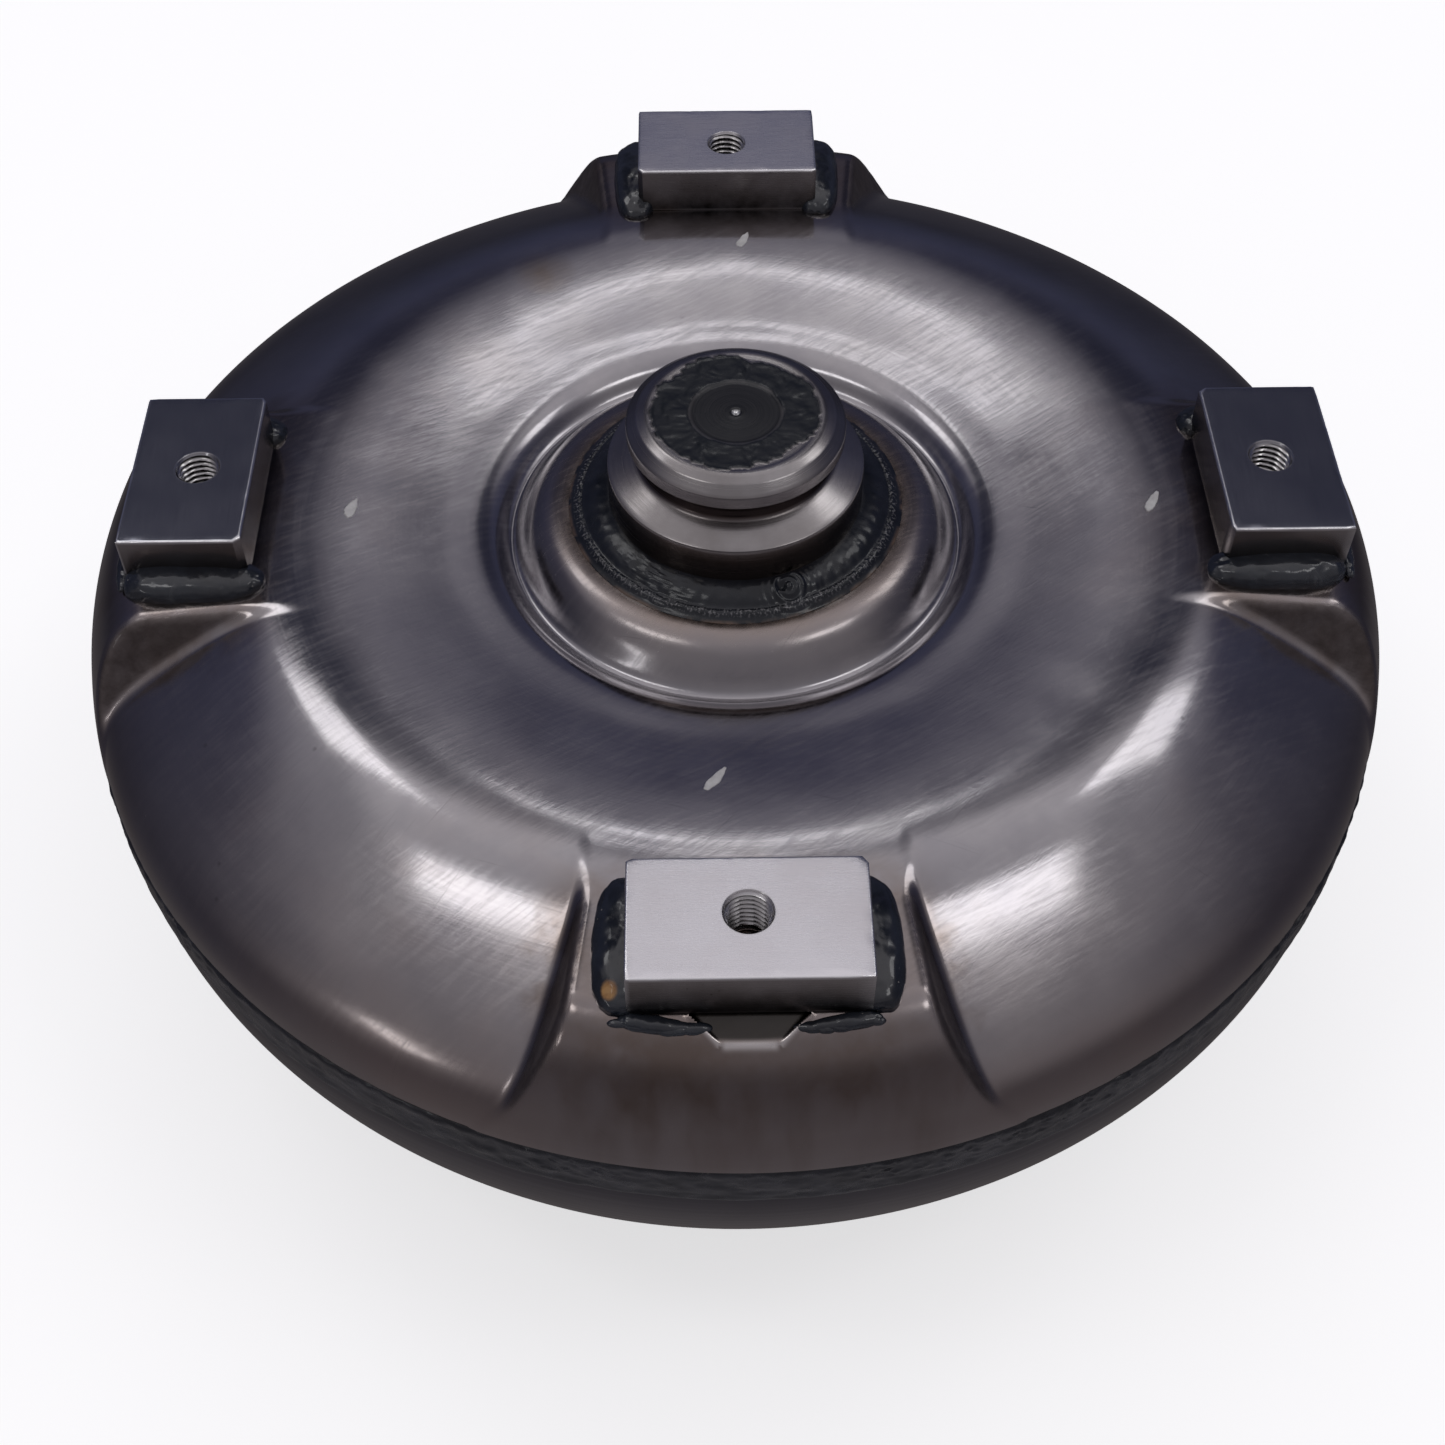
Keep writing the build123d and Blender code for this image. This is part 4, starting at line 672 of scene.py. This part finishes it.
rings = []
masks = {"wall": [], "heat": [], "heat_halo_and_shade": [], "notch": [], "glint": []}
for r_, z_ in crown[:-1]:
    rings.append(np.stack([r_ * np.cos(theta), r_ * np.sin(theta), np.full(NT, z_)], -1))
    for v in masks.values():
        v.append(np.zeros(NT))
for i in range(len(q)):
    rings.append(np.stack([Zr[i] * np.cos(theta), Zr[i] * np.sin(theta), Zz[i]], -1))
    for k_, v in (("wall", wall), ("heat", heat), ("heat_halo_and_shade", heat_halo_and_shade), ("notch", notchm), ("glint", glint)):
        masks[k_].append(v[i])
lip = [(156.5, -46.9), (156.5, -52.8), (154.9, -52.8), (154.9, -50.0), (152.6, -50.0)]
inner = np.vstack([
    line([(152.6, -50.0), (152.2, -46.0)], 2.0),
    spline([(152.2, -46.0), (151.1, -40.1), (148.4, -36.2), (144.2, -32.8), (139.1, -29.7), (133.7, -26.9), (128.1, -24.1),
            (122.5, -21.4), (116.9, -19.1), (111.5, -17.5), (106.0, -16.8), (100.5, -17.0), (94.6, -18.1), (88.3, -19.6),
            (82.5, -21.6)], 40)[1:],
    line([(82.5, -21.6), (63.0, -21.6)], 4.0)[1:],
    spline([(63.0, -21.6), (60.2, -22.4), (57.6, -24.8), (53.7, -26.5)], 8)[1:],
    spline([(53.7, -26.5), (49.8, -24.7), (46.4, -21.3), (43.7, -18.1), (39.4, -17.0)], 10)[1:],
    line([(39.4, -17.0), (30.0, -17.0)], 3.0)[1:],
])
for r_, z_ in list(lip[:-1]) + list(inner):
    rings.append(np.stack([r_ * np.cos(theta), r_ * np.sin(theta), np.full(NT, z_)], -1))
    for v in masks.values():
        v.append(np.zeros(NT))
V = np.concatenate(rings)
cover = make_object("cover_skin", V, ring_faces(len(rings), NT), M["cover"], "housing", ("front_cover",),
                    {k_: np.concatenate(v) for k_, v in masks.items()})
sharp_by_angle(cover, 50)

# ---------------------------------------------------------------- shell below


def revolve(name, prof, nt, mat, body, replaces=(), disp=None, attrs=None, sharp=40):
    th = np.arange(nt) * 2 * pi / nt
    P = np.asarray(prof, float)
    r = P[:, 0][:, None] * np.ones(nt)
    z = P[:, 1][:, None] * np.ones(nt)
    T = np.broadcast_to(th, r.shape)
    if disp is not None:
        r, z = disp(r, z, T)
    V = np.stack([r * np.cos(T), r * np.sin(T), z], -1).reshape(-1, 3)
    at = {k: f(r, z, T).ravel() for k, f in (attrs or {}).items()}
    o = make_object(name, V, ring_faces(len(P), nt), mat, body, replaces, at)
    sharp_by_angle(o, sharp)
    return o


def arc(cx, cz, R, a0, a1, n):
    a = np.radians(np.linspace(a0, a1, n))
    return np.stack([cx + R * np.cos(a), cz + R * np.sin(a)], 1)


shell_out = arc(100, -62, 56.5, 0, -125, 90)
shell_in = arc(100, -62, 53.0, -125, 0, 40)
shell_prof = np.vstack([
    line([(154.8, -53.0), (156.4, -53.0)], 1.0), line([(156.5, -53.0), (156.5, -61.5)], 1.5), shell_out,
    spline([tuple(shell_out[-1]), (60.5, -102.6), (54.5, -101.1), (50.0, -101.0)], 12, (-0.82, 0.57), (-1, 0))[1:],
    line([(50.0, -101.0), (39.9, -101.0), (39.9, -97.5), (56.0, -97.5)], 3.0)[1:],
    spline([(56.0, -97.5), (60.5, -98.9), tuple(shell_in[0])], 8, (1, 0), (0.82, -0.57))[1:],
    shell_in[1:], line([(153.0, -62.0), (153.0, -50.2), (154.8, -50.2)], 3.0)[1:],
])
revolve("impeller_shell_skin", shell_prof, 360, M["shell"], "housing", ("impeller_shell",), sharp=35)

# ---------------------------------------------------------------- closing weld

girth_prof = np.vstack([
    line([(156.4, -59.6), (156.4, -46.7)], 4.0),
    spline([(156.5, -46.7), (157.2, -47.2), (157.5, -49.2), (157.5, -53.0), (157.45, -57.0), (157.1, -59.2), (156.5, -59.7)], 34)[0:],
])


def girth_disp(r, z, T):
    out = r > 156.45
    x, y = 157 * T, z
    lump = fbm(x / 2.2, y / 1.6, 0.0, 21, 4)
    gate = sstep(-0.1, 0.45, vnoise(x / 22.0, 0.0, 3.0, 9)) * sstep(-55.5, -52.0, z)
    rip = 0.10 * np.sin(x * 1.15 + 0.7 * vnoise(x / 5, 0, 0, 4))
    d = (0.16 * fbm(x / 6.0, y / 3.0, 2.0, 33, 3) - 0.15 + rip * sstep(-56, -52, z) + 0.55 * np.clip(lump, 0, 1.2) * gate) * out
    edge = np.clip((r - 156.5) / 0.8, 0, 1)
    r2 = np.where(out, np.clip(r + d * edge, 156.42, 157.56), r)
    z2 = z + 0.35 * vnoise(x / 7.0, 5.0, 0.0, 41) * out * edge * (z > -50)
    z2 = np.clip(z2, -59.7, -46.55)
    return r2, z2


revolve("girth_weld_bead", girth_prof, 2000, M["girth"], "housing", ("girth_weld",), girth_disp)

# ---------------------------------------------------------------- pilot hub

hub_prof = np.vstack([
    spline([(0.25, 14.75), (0.7, 15.05), (1.2, 15.32), (2.0, 15.34)], 8),
    spline([(2.0, 15.34), (8.0, 15.22), (9.9, 15.2)], 14)[1:],
    spline([(9.9, 15.2), (10.5, 15.3), (11.4, 15.32), (18.6, 15.38)], 24)[1:],
    spline([(18.6, 15.38), (19.6, 15.5), (20.4, 15.5)], 6)[1:],
    line([(20.4, 15.5), (20.8, 15.42), (22.75, 14.6), (22.95, 14.45), (24.95, 12.85), (25.15, 12.6), (25.2, 12.3), (25.2, 9.6), (25.0, 9.25), (24.5, 8.75)], 0.5)[1:],
    spline([(24.5, 8.75), (22.9, 8.2), (22.4, 7.3), (22.4, 5.0), (22.8, 3.95), (23.7, 3.35), (24.4, 3.05)], 22)[1:],
    line([(24.4, 3.05), (29.45, 0.95), (29.8, 0.75), (29.9, 0.4), (29.9, -17.9), (24.8, -17.9), (24.8, -23.4), (24.2, -24.0), (14.8, -24.0),
          (14.0, -23.2), (14.0, -7.5), (13.0, -6.8), (0.25, -6.4)], 0.8)[1:],
])


def paint_mask(r, z, T):
    x, y = r * np.cos(T), r * np.sin(T)
    n = fbm(x / 4.2, y / 4.2, 1.7, 77, 4)
    streak = 1.1 * vnoise((x * 0.8 + y * 0.6) / 1.0, (x * -0.6 + y * 0.8) / 6.0, 0.0, 13)
    edge = 19.2 + 1.0 * n + 0.6 * streak
    edge = edge - 1.6 * sstep(0.75, 1.0, np.cos(T - math.radians(-62))) - 1.2 * sstep(0.8, 1.0, np.cos(T - math.radians(62)))
    inner = 10.5 + 0.5 * n
    return np.clip(sstep(0.25, -0.25, r - edge), 0, 1) * (0.55 + 0.45 * sstep(-0.4, 0.4, r - inner)) * (z > 12)


def hub_disp(r, z, T):
    p = paint_mask(r, z, T)
    x, y = r * np.cos(T), r * np.sin(T)
    return r, np.minimum(z + sstep(0.5, 1.0, p) * (0.13 + 0.065 * fbm(x / 3.6 + 0.5 * vnoise(x / 5, y / 5, 0, 3), y / 3.6, 0.0, 55, 3)) * sstep(9.0, 11, r), 15.58)


revolve("pilot_hub_turned", hub_prof, 360, M["hub"], "housing", ("pilot_hub",), hub_disp, {"paint": paint_mask}, 28)

# ---------------------------------------------------------------- hub weld ring

hw_prof = np.vstack([
    line([(39.7, -13.2), (29.8, -13.2)], 2.5),
    line([(29.8, -13.2), (29.9, -8.4)], 1.5)[1:],
    spline([(29.9, -8.4), (32.6, -8.9), (35.2, -10.2), (36.6, -11.0), (37.4, -11.05), (38.2, -11.6), (39.6, -12.45)], 60, (1, 0.0))[1:],
])


def hw_disp(r, z, T):
    top = (z > -12.9) & (r > 30.0)
    x, y = r * np.cos(T), r * np.sin(T)
    rip = 0.035 * np.sin(T * 60 + 2.2 * (r - 34) / 3) * np.exp(-((r - 34.2) / 2.4) ** 2)
    d = 0.10 * fbm(x / 4.5, y / 4.5, 0.0, 61, 3) * np.exp(-((r - 34.5) / 3.6) ** 2)
    # where the bead starts and stops
    a = math.radians(-70)
    bx, by = 33.4 * math.cos(a), 33.4 * math.sin(a)
    dd = np.hypot(x - bx, y - by)
    el_ = np.hypot((x - bx - 2.0) / 1.9, (y - by - 0.6) / 1.0)
    blob = 0.75 * np.exp(-(el_ / 3.4) ** 2) - 1.1 * np.exp(-((np.hypot(x - bx + 1.6, y - by)) / 1.0) ** 2)
    blob = blob + 0.30 * np.exp(-((dd - 3.4) / 0.5) ** 2) * sstep(-2.0, 3.0, x - bx + 3) + 0.12 * np.sin(dd * 4.2) * np.exp(-(dd / 5.0) ** 2)
    a2 = math.radians(-122)
    dd2 = np.hypot(x - 35.5 * math.cos(a2), y - 35.5 * math.sin(a2))
    brushy = 0.13 * vnoise(T * 14, r * 2.4, 0, 19) * np.exp(-(dd2 / 8.0) ** 2)
    ridge = 0.20 * (0.5 + 0.5 * vnoise(T * 60, 0.0, 0.0, 23)) * np.exp(-((r - 37.0) / 0.35) ** 2)
    z2 = z + (rip + d + blob + brushy + ridge) * top * sstep(29.95, 31.0, r) * sstep(39.6, 38.6, r)
    return r, np.where(top, z2, z)


revolve("pilot_hub_weld_bead", hw_prof, 1080, M["hubweld"], "housing", ("pilot_hub_weld",), hw_disp, sharp=70)

# ---------------------------------------------------------------- lugs with cut threads


def lug_mesh(seed):
    """lug at azimuth 0: x radial, y tangential; returns verts, faces, attributes"""
    nt = 128
    th = np.arange(nt) * 2 * pi / nt
    cx, hx, hy, h = 126.1, 14.05, 24.0, 12.7
    hole = 125.0
    c, sn = np.cos(th), np.sin(th)

    def rect(ins, cr):
        """rounded rectangle, inset ins, corner radius cr, seen from the hole's centre at angle th"""
        out = []
        ax0, ax1, ay = cx - hx + ins - hole, cx + hx - ins - hole, hy - ins
        for k in range(nt):
            dx, dy = c[k], sn[k]
            tx = (ax1 if dx > 0 else ax0) / dx if abs(dx) > 1e-9 else 1e9
            ty = (ay if dy > 0 else -ay) / dy if abs(dy) > 1e-9 else 1e9
            t = min(tx, ty)
            x, y = dx * t, dy * t
            # round the corner
            qx = (ax1 - cr) if x > 0 else (ax0 + cr)
            qy = (ay - cr) if y > 0 else (-ay + cr)
            ox, oy = x - qx, y - qy
            if (ox > 0) == (x > 0) and (oy > 0) == (y > 0) and ox != 0 and oy != 0:
                d = math.hypot(ox, oy)
                if d > cr:
                    x, y = qx + ox / d * cr, qy + oy / d * cr
            out.append((x, y))
        return np.array(out)

    # snap the four directions nearest the corners onto them, so the corners stay crisp
    for sx, sy in ((1, 1), (-1, 1), (-1, -1), (1, -1)):
        X = cx + sx * hx - hole
        Y = sy * hy
        ang = math.atan2(Y, X) % (2 * pi)
        for off in (-0.022, 0.0, 0.022):
            k = int(np.argmin(np.abs((th - ang - off + pi) % (2 * pi) - pi)))
            th[k] = (ang + off) % (2 * pi)
    th.sort()
    c, sn = np.cos(th), np.sin(th)

    V, wear, side, bore, root = [], [], [], [], []

    def add(xy, z, w=0.0, sd=0.0, bo=0.0, ro=0.0):
        n = len(xy)
        root.append(np.broadcast_to(ro, n))
        V.append(np.stack([hole + xy[:, 0], xy[:, 1], np.broadcast_to(z, n)], -1))
        wear.append(np.broadcast_to(w, n))
        side.append(np.broadcast_to(sd, n))
        bore.append(np.broadcast_to(bo, n))

    circ = np.stack([c, sn], 1)
    # bottom of the hole up the thread
    pitch, rmin, rmaj = 1.5, 4.28, 5.05
    zs = np.arange(-h + 0.02, -0.75, pitch / 10)
    for z in zs:
        ph = ((z / pitch) - th / (2 * pi)) % 1.0
        tri = 1 - np.abs(2 * ph - 1)
        prof = np.clip((tri - 0.12) / 0.66, 0, 1)
        depth = rmin + (rmaj - rmin) * prof
        fade = sstep(-h, -h + 1.2, z)
        rad = rmin + (depth - rmin) * fade
        # the last value marks the thread roots, which the lug colour paints near black as painted shade
        add(circ * rad[:, None], z, 0.0, 0.0, 1.0, sstep(0.35, 0.85, prof) * 0.97)
    for z, r in ((-0.62, 4.75), (-0.45, 4.9), (-0.25, 5.02), (-0.08, 5.12), (0.0, 5.22)):
        add(circ * r, z - 0.0, 0.35 if z > -0.1 else 0.0, 0.0, 0.35)
    add(circ * 5.6, 0.0)
    for f in (0.25, 0.5, 0.75):
        outer = rect(2.2, 0.8)
        add(circ * 5.6 * (1 - f) + outer * f, 0.0)
    add(rect(2.2, 0.8), 0.0)
    add(rect(0.75, 0.5), 0.0, 0.0)
    add(rect(0.42, 0.5), -0.015, 0.6)
    add(rect(0.22, 0.5), -0.07, 1.0)
    add(rect(0.07, 0.5), -0.22, 1.0, 0.3)
    add(rect(0.0, 0.5), -0.45, 0.6, 1.0)
    add(rect(0.0, 0.5), -0.9, 0.0, 1.0)
    for z in (-2.5, -5, -7.5, -10, -11.8):
        add(rect(0.0, 0.5), z, 0.0, 1.0)
    add(rect(0.05, 0.5), -12.4, 0.2, 1.0)
    add(rect(0.3, 0.5), -12.7, 0.0, 1.0)
    add(rect(2.0, 0.5), -12.7, 0.0, 1.0)
    add(circ * 5.6, -12.7, 0.0, 1.0)
    V = np.concatenate(V)
    wear, side, bore, root = (np.concatenate(v) for v in (wear, side, bore, root))
    # vertical corners are worn bright too
    dx = np.minimum(np.abs(V[:, 0] - (cx - hx)), np.abs(V[:, 0] - (cx + hx)))
    dy = hy - np.abs(V[:, 1])
    corner = (np.maximum(dx, dy) < 0.45) & (V[:, 2] < -0.3)
    wear = np.where(corner, 0.55, wear)
    # small knocks along the top edge
    k = (wear > 0.5) & (V[:, 2] > -0.3)
    n = fbm(V[:, 0] / 2.0, V[:, 1] / 2.0, seed, 90 + seed, 2)
    V[:, 2] = np.where(k, V[:, 2] - 0.10 * np.clip(n - 0.3, 0, 1), V[:, 2])
    nr = len(V) // nt
    return V, ring_faces(nr, nt), {"wear": wear, "side": side, "bore": bore, "root": root}


def rotz(V, a):
    c, s_ = math.cos(a), math.sin(a)
    return np.stack([V[:, 0] * c - V[:, 1] * s_, V[:, 0] * s_ + V[:, 1] * c, V[:, 2]], -1)


lug_az = {"lug_right": 0.0, "lug_back": pi / 2, "lug_left": pi, "lug_front": 1.5 * pi}
for k, (name, az) in enumerate(lug_az.items()):
    V, F, at = lug_mesh(k + 1)
    mat = M["lug_lr"] if name in ("lug_right", "lug_left") else M["lug_fb"]
    o = make_object(name + "_block", rotz(V, az), F, mat, "housing", (name,), at)
    sharp_by_angle(o, 32)

# ---------------------------------------------------------------- lug weld beads


def icosphere(sub):
    bm = bmesh.new()
    bmesh.ops.create_icosphere(bm, subdivisions=sub, radius=1.0)
    bm.verts.ensure_lookup_table()
    V = np.array([v.co[:] for v in bm.verts])
    F = [[v.index for v in f.verts] for f in bm.faces]
    bm.free()
    return V, np.array(F)


S5, F5 = icosphere(6)
S4, F4 = icosphere(5)


def bead(S, centre, half, power, seed, lump, ripple=0.0, rip_axis=0):
    d = S / np.linalg.norm(S, axis=1)[:, None]
    p = power
    k = (np.abs(d) ** p).sum(1) ** (-1 / p)
    P = d * k[:, None] * np.array(half)
    n = fbm(P[:, 0] / 5.0 + seed, P[:, 1] / 4.0, P[:, 2] / 4.0, seed, 3)
    n2 = vnoise(P[:, 0] / 1.6, P[:, 1] / 1.6 + seed, P[:, 2] / 1.6, seed + 40)
    rip = ripple * np.sin(P[:, rip_axis] * 2.4 + 1.2 * (P[:, 1 - rip_axis] / 4.0) ** 2)
    P = P * (1 + (lump * n + 0.25 * lump * n2 + rip) / np.linalg.norm(np.array(half)) * 1.6)[:, None]
    return P + np.array(centre)


allV, allF, rust = [], [], []
off = 0


def put(P, F, k, rv=None):
    global off
    allV.append(rotz(P, k * pi / 2))
    allF.append(F + off)
    rust.append(np.zeros(len(P)) if rv is None else rv)
    off += len(P)


for k in range(4):
    for sgn in (1, -1):
        sd = 3 + 7 * k + (2 if sgn > 0 else 0)
        j = np.random.default_rng(sd).uniform(-1, 1, 8)
        P = bead(S5, (124.8 + 0.5 * j[0], sgn * 24.6, -12.9), (15.9 + 0.4 * j[1], 6.7 + 0.3 * j[6], 5.3 + 0.3 * j[2]), 2.7, sd, 0.32, 0.012)
        # the bead leans in where it starts and fattens where it stops
        f = np.clip((P[:, 0] - 109.0) / 32.0, 0, 1)
        P[:, 1] = sgn * (24.6 + (sgn * P[:, 1] - 24.6) * (0.86 + 0.16 * f))
        P[:, 2] = -12.9 + (P[:, 2] + 12.9) * (0.82 + 0.22 * f)
        P[:, 0] = np.where(P[:, 0] > 139.5, 139.5 + (P[:, 0] - 139.5) * 0.8, P[:, 0])
        rv = None
        if k == 3 and sgn < 0:
            rv = sstep(2.4, 1.5, np.linalg.norm((P - np.array([136.9, -27.3, -8.6])) * np.array([1, 1.15, 1]), axis=1))
        put(P, F5, k, rv)
        # run along the lug's outboard edge, thinning towards the middle
        P = bead(S5, (0, 0, 0), (1.9, 8.8 + 0.5 * j[3], 1.9), 2.2, sd + 11, 0.55, 0.0, 1)
        f = np.clip((sgn * P[:, 1] + 8.3) / 16.6, 0, 1)
        P[:, 0] = P[:, 0] * (0.72 + 0.38 * f) + 141.0 + (1 - f) * 1.7
        P[:, 2] = P[:, 2] * (0.70 + 0.40 * f) - 13.3 - (1 - f) * 1.0
        P[:, 1] += sgn * 17.8
        put(P, F5, k)
        # spatter drops
        for i in range(5):
            yy_ = 24.5 - 3.3 * i + 0.8 * j[i]
            P = bead(S4, (141.6 + 0.10 * (24 - yy_) + 0.5 * j[(i + 3) % 8], sgn * yy_, -13.4 - 0.07 * (24 - yy_)), (1.2 + 0.3 * j[i + 1], 3.0 + j[i + 2], 1.1), 2.0,
                     sd + 30 + i, 0.5)
            put(P, F4, k)
welds = make_object("lug_weld_beads", np.concatenate(allV), np.concatenate(allF), M["weld"], "housing", ("lug_welds",),
                    {"rust": np.concatenate(rust)})

# ---------------------------------------------------------------- white paint dabs


def dome_z(r):
    return np.interp(r, np.r_[crown[:, 0], dome[:, 0]], np.r_[crown[:, 1], dome[:, 1]])


def dab(name, x, y, ang, ln, wd, seed):
    nt, nr = 48, 9
    V = []
    a = np.arange(nt) * 2 * pi / nt
    for lvl, (f, lift) in enumerate([(1.0, -0.25)] + [(1 - i / nr, 0.02 + 0.16 * math.sqrt(1 - (1 - i / nr) ** 2)) for i in range(nr)]):
        n = fbm(np.cos(a) * 1.7 + seed, np.sin(a) * 1.7, 0.0, seed, 3)
        rad = f * (1 + 0.16 * n)
        u = rad * np.cos(a) * ln / 2
        w = rad * np.sin(a) * wd / 2 * (1 - 0.35 * (u / (ln / 2)))
        px = x + u * math.cos(ang) - w * math.sin(ang)
        py = y + u * math.sin(ang) + w * math.cos(ang)
        V.append(np.stack([px, py, dome_z(np.hypot(px, py)) + lift], -1))
    V = np.concatenate(V)
    F = ring_faces(nr + 1, nt, False).tolist()
    F.append(list(range(nt))[::-1])
    F.append([nr * nt + i for i in range(nt)])
    make_object(name, V, F, M["mark"], "housing", ())


dab("paint_mark_back", 4.1, 98.9, math.radians(68), 6.5, 2.2, 2)
dab("paint_mark_left", -91.2, -0.6, math.radians(72), 6.8, 2.3, 5)
dab("paint_mark_right", 99.1, -2.0, math.radians(62), 7.0, 2.2, 8)
dab("paint_mark_front", -5.7, -81.6, math.radians(58), 8.4, 2.2, 11)

# ---------------------------------------------------------------- floor, light, camera

floor_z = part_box("impeller_hub")[0].z
bm = bmesh.new()
bmesh.ops.create_grid(bm, x_segments=2, y_segments=2, size=8.0)
me = bpy.data.meshes.new("floor")
bm.to_mesh(me)
bm.free()
floor = bpy.data.objects.new("floor", me)
floor.location = (0, 0, floor_z)
bpy.context.scene.collection.objects.link(floor)
fm = N("floor_pale")
fm.set(Base_Color=fm.mix(fm.noise(fm.obj, 3.0), (0.93, 0.93, 0.93), (0.95, 0.95, 0.95)), Roughness=0.9, Emission_Color=(1.0, 1.0, 1.0), Emission_Strength=0.62)
me.materials.append(fm.m)
floor.visible_glossy = False

world = bpy.data.worlds.new("studio")
bpy.context.scene.world = world
world.use_nodes = True


class Sky(N):
    """dim studio tent: grey all round, lighter overhead and in a strip behind, deep blue beside that strip"""

    def __init__(self, tree):
        self.t = tree
        tree.nodes.clear()
        self.out = tree.nodes.new("ShaderNodeOutputWorld")
        self.bg = tree.nodes.new("ShaderNodeBackground")
        self.link(self.bg.outputs[0], self.out.inputs[0])
        self.tc = tree.nodes.new("ShaderNodeTexCoord")
        self.obj = self.tc.outputs["Generated"]

    def blob(self, c, r0, r1, sx=1.0, sy=1.0):
        x, y, z = self.xyz()
        dx = self.math("MULTIPLY", self.math("SUBTRACT", x, c[0]), 1 / sx)
        dy = self.math("MULTIPLY", self.math("SUBTRACT", y, c[1]), 1 / sy)
        d = self.math("SQRT", self.math("ADD", self.math("MULTIPLY", dx, dx), self.math("MULTIPLY", dy, dy)))
        return self.math("MULTIPLY", self.map(d, r0, r1, 1.0, 0.0), self.map(z, -0.02, 0.04))


w = Sky(world.node_tree)
x_, y_, z_ = w.xyz()


def ramp_of(stops):
    n = w.t.nodes.new("ShaderNodeValToRGB")
    w.link(w.map(z_, -1.0, 1.0), n.inputs[0])
    els = n.color_ramp.elements
    els[0].position, els[0].color = (stops[0][0] + 1) / 2, (*stops[0][1], 1)
    els[1].position, els[1].color = (stops[-1][0] + 1) / 2, (*stops[-1][1], 1)
    for p_, c_ in stops[1:-1]:
        e = els.new((p_ + 1) / 2)
        e.color = (*c_, 1)
    return n.outputs[0]


back = ramp_of([(-1.0, (0.10, 0.09, 0.09)), (-0.15, (0.028, 0.028, 0.04)), (0.05, (0.045, 0.048, 0.08)), (0.30, (0.060, 0.064, 0.11)),
                (0.50, (0.075, 0.078, 0.125)), (0.58, (0.085, 0.085, 0.13)), (0.61, (0.12, 0.118, 0.16)), (0.65, (0.22, 0.215, 0.26)),
                (0.72, (0.34, 0.33, 0.37)), (0.79, (0.40, 0.39, 0.42)), (0.84, (0.68, 0.66, 0.69)), (1.0, (0.60, 0.58, 0.61))])
front = ramp_of([(-1.0, (0.16, 0.15, 0.16)), (-0.10, (0.11, 0.10, 0.11)), (0.05, (0.14, 0.13, 0.14)), (0.35, (0.25, 0.235, 0.25)),
                 (0.75, (0.29, 0.28, 0.30)), (1.0, (0.44, 0.43, 0.46))])
col = w.mix(w.map(y_, 0.32, -0.35), back, front)
# the two sides of the tent are darker low down
sidedark = w.math("MULTIPLY", w.map(w.math("ABSOLUTE", x_), 0.70, 0.95), w.map(y_, -0.55, -0.1))
col = w.mix(w.math("MULTIPLY", sidedark, 0.75), col, (0.05, 0.05, 0.07))
hole = w.math("MAXIMUM", w.blob((-0.27, 0.70), 0.55, 1.25, 0.22, 0.17), w.blob((0.30, 0.70), 0.55, 1.25, 0.22, 0.17))
col = w.mix(w.math("MULTIPLY", hole, 0.92), col, (0.03, 0.032, 0.055))
w.link(col, w.bg.inputs[0])
w.bg.inputs[1].default_value = 1.0


def panel(name, x, y, z, sx, sy, lum, roll=0.0, aim=None):
    """a flat lamp panel facing down, or aimed at a point; lum is how bright its face looks"""
    l = bpy.data.lights.new(name, "AREA")
    l.shape = "RECTANGLE"
    l.size, l.size_y = sx, sy
    l.energy = lum * pi * sx * sy
    o = bpy.data.objects.new(name, l)
    o.location = (x, y, z)
    d = Vector((0, 0, 1)) if aim is None else (Vector((x, y, z)) - Vector(aim)).normalized()
    o.rotation_euler = (d.to_track_quat("Z", "Y").to_matrix() @ Matrix.Rotation(roll, 3, "Z")).to_euler()
    bpy.context.scene.collection.objects.link(o)
    return o


panel("panel_back", 0.03, 0.99, 1.2, 0.34, 0.09, 1.6)
panel("panel_back_left", -0.70, 0.63, 1.2, 0.44, 0.34, 1.5, math.radians(5))
panel("panel_back_right", 0.94, 0.50, 1.2, 0.52, 0.34, 1.5, math.radians(-4))
panel("panel_front_left", -0.62, -0.27, 1.2, 0.50, 0.20, 2.0, math.radians(-28))
panel("panel_front_right", 0.70, -0.30, 1.2, 0.50, 0.24, 2.0, math.radians(25))
panel("panel_low_left", -1.10, -0.95, 0.50, 0.34, 0.14, 1.9, math.radians(-40), (0, 0, 0))

cam = bpy.data.cameras.new("camera")
cam.sensor_width = 36.0
cam.lens = 49.20
cam.clip_start, cam.clip_end = 0.01, 50
co = bpy.data.objects.new("camera", cam)
X = Vector((0.99987, -0.01610, -0.00010))
Y = Vector((0.0126, 0.7784, 0.6277))
Z = Vector((-0.0100, -0.6276, 0.7785)).normalized()
X = (X - Z * X.dot(Z)).normalized()
Y = Z.cross(X)
mw = Matrix(((X.x, Y.x, Z.x, -8.401 * MM), (X.y, Y.y, Z.y, -335.944 * MM), (X.z, Y.z, Z.z, 319.893 * MM), (0, 0, 0, 1)))
co.matrix_world = mw
bpy.context.scene.collection.objects.link(co)
bpy.context.scene.camera = co

bpy.context.scene.view_settings.view_transform = "Standard"
bpy.context.scene.view_settings.look = "None"
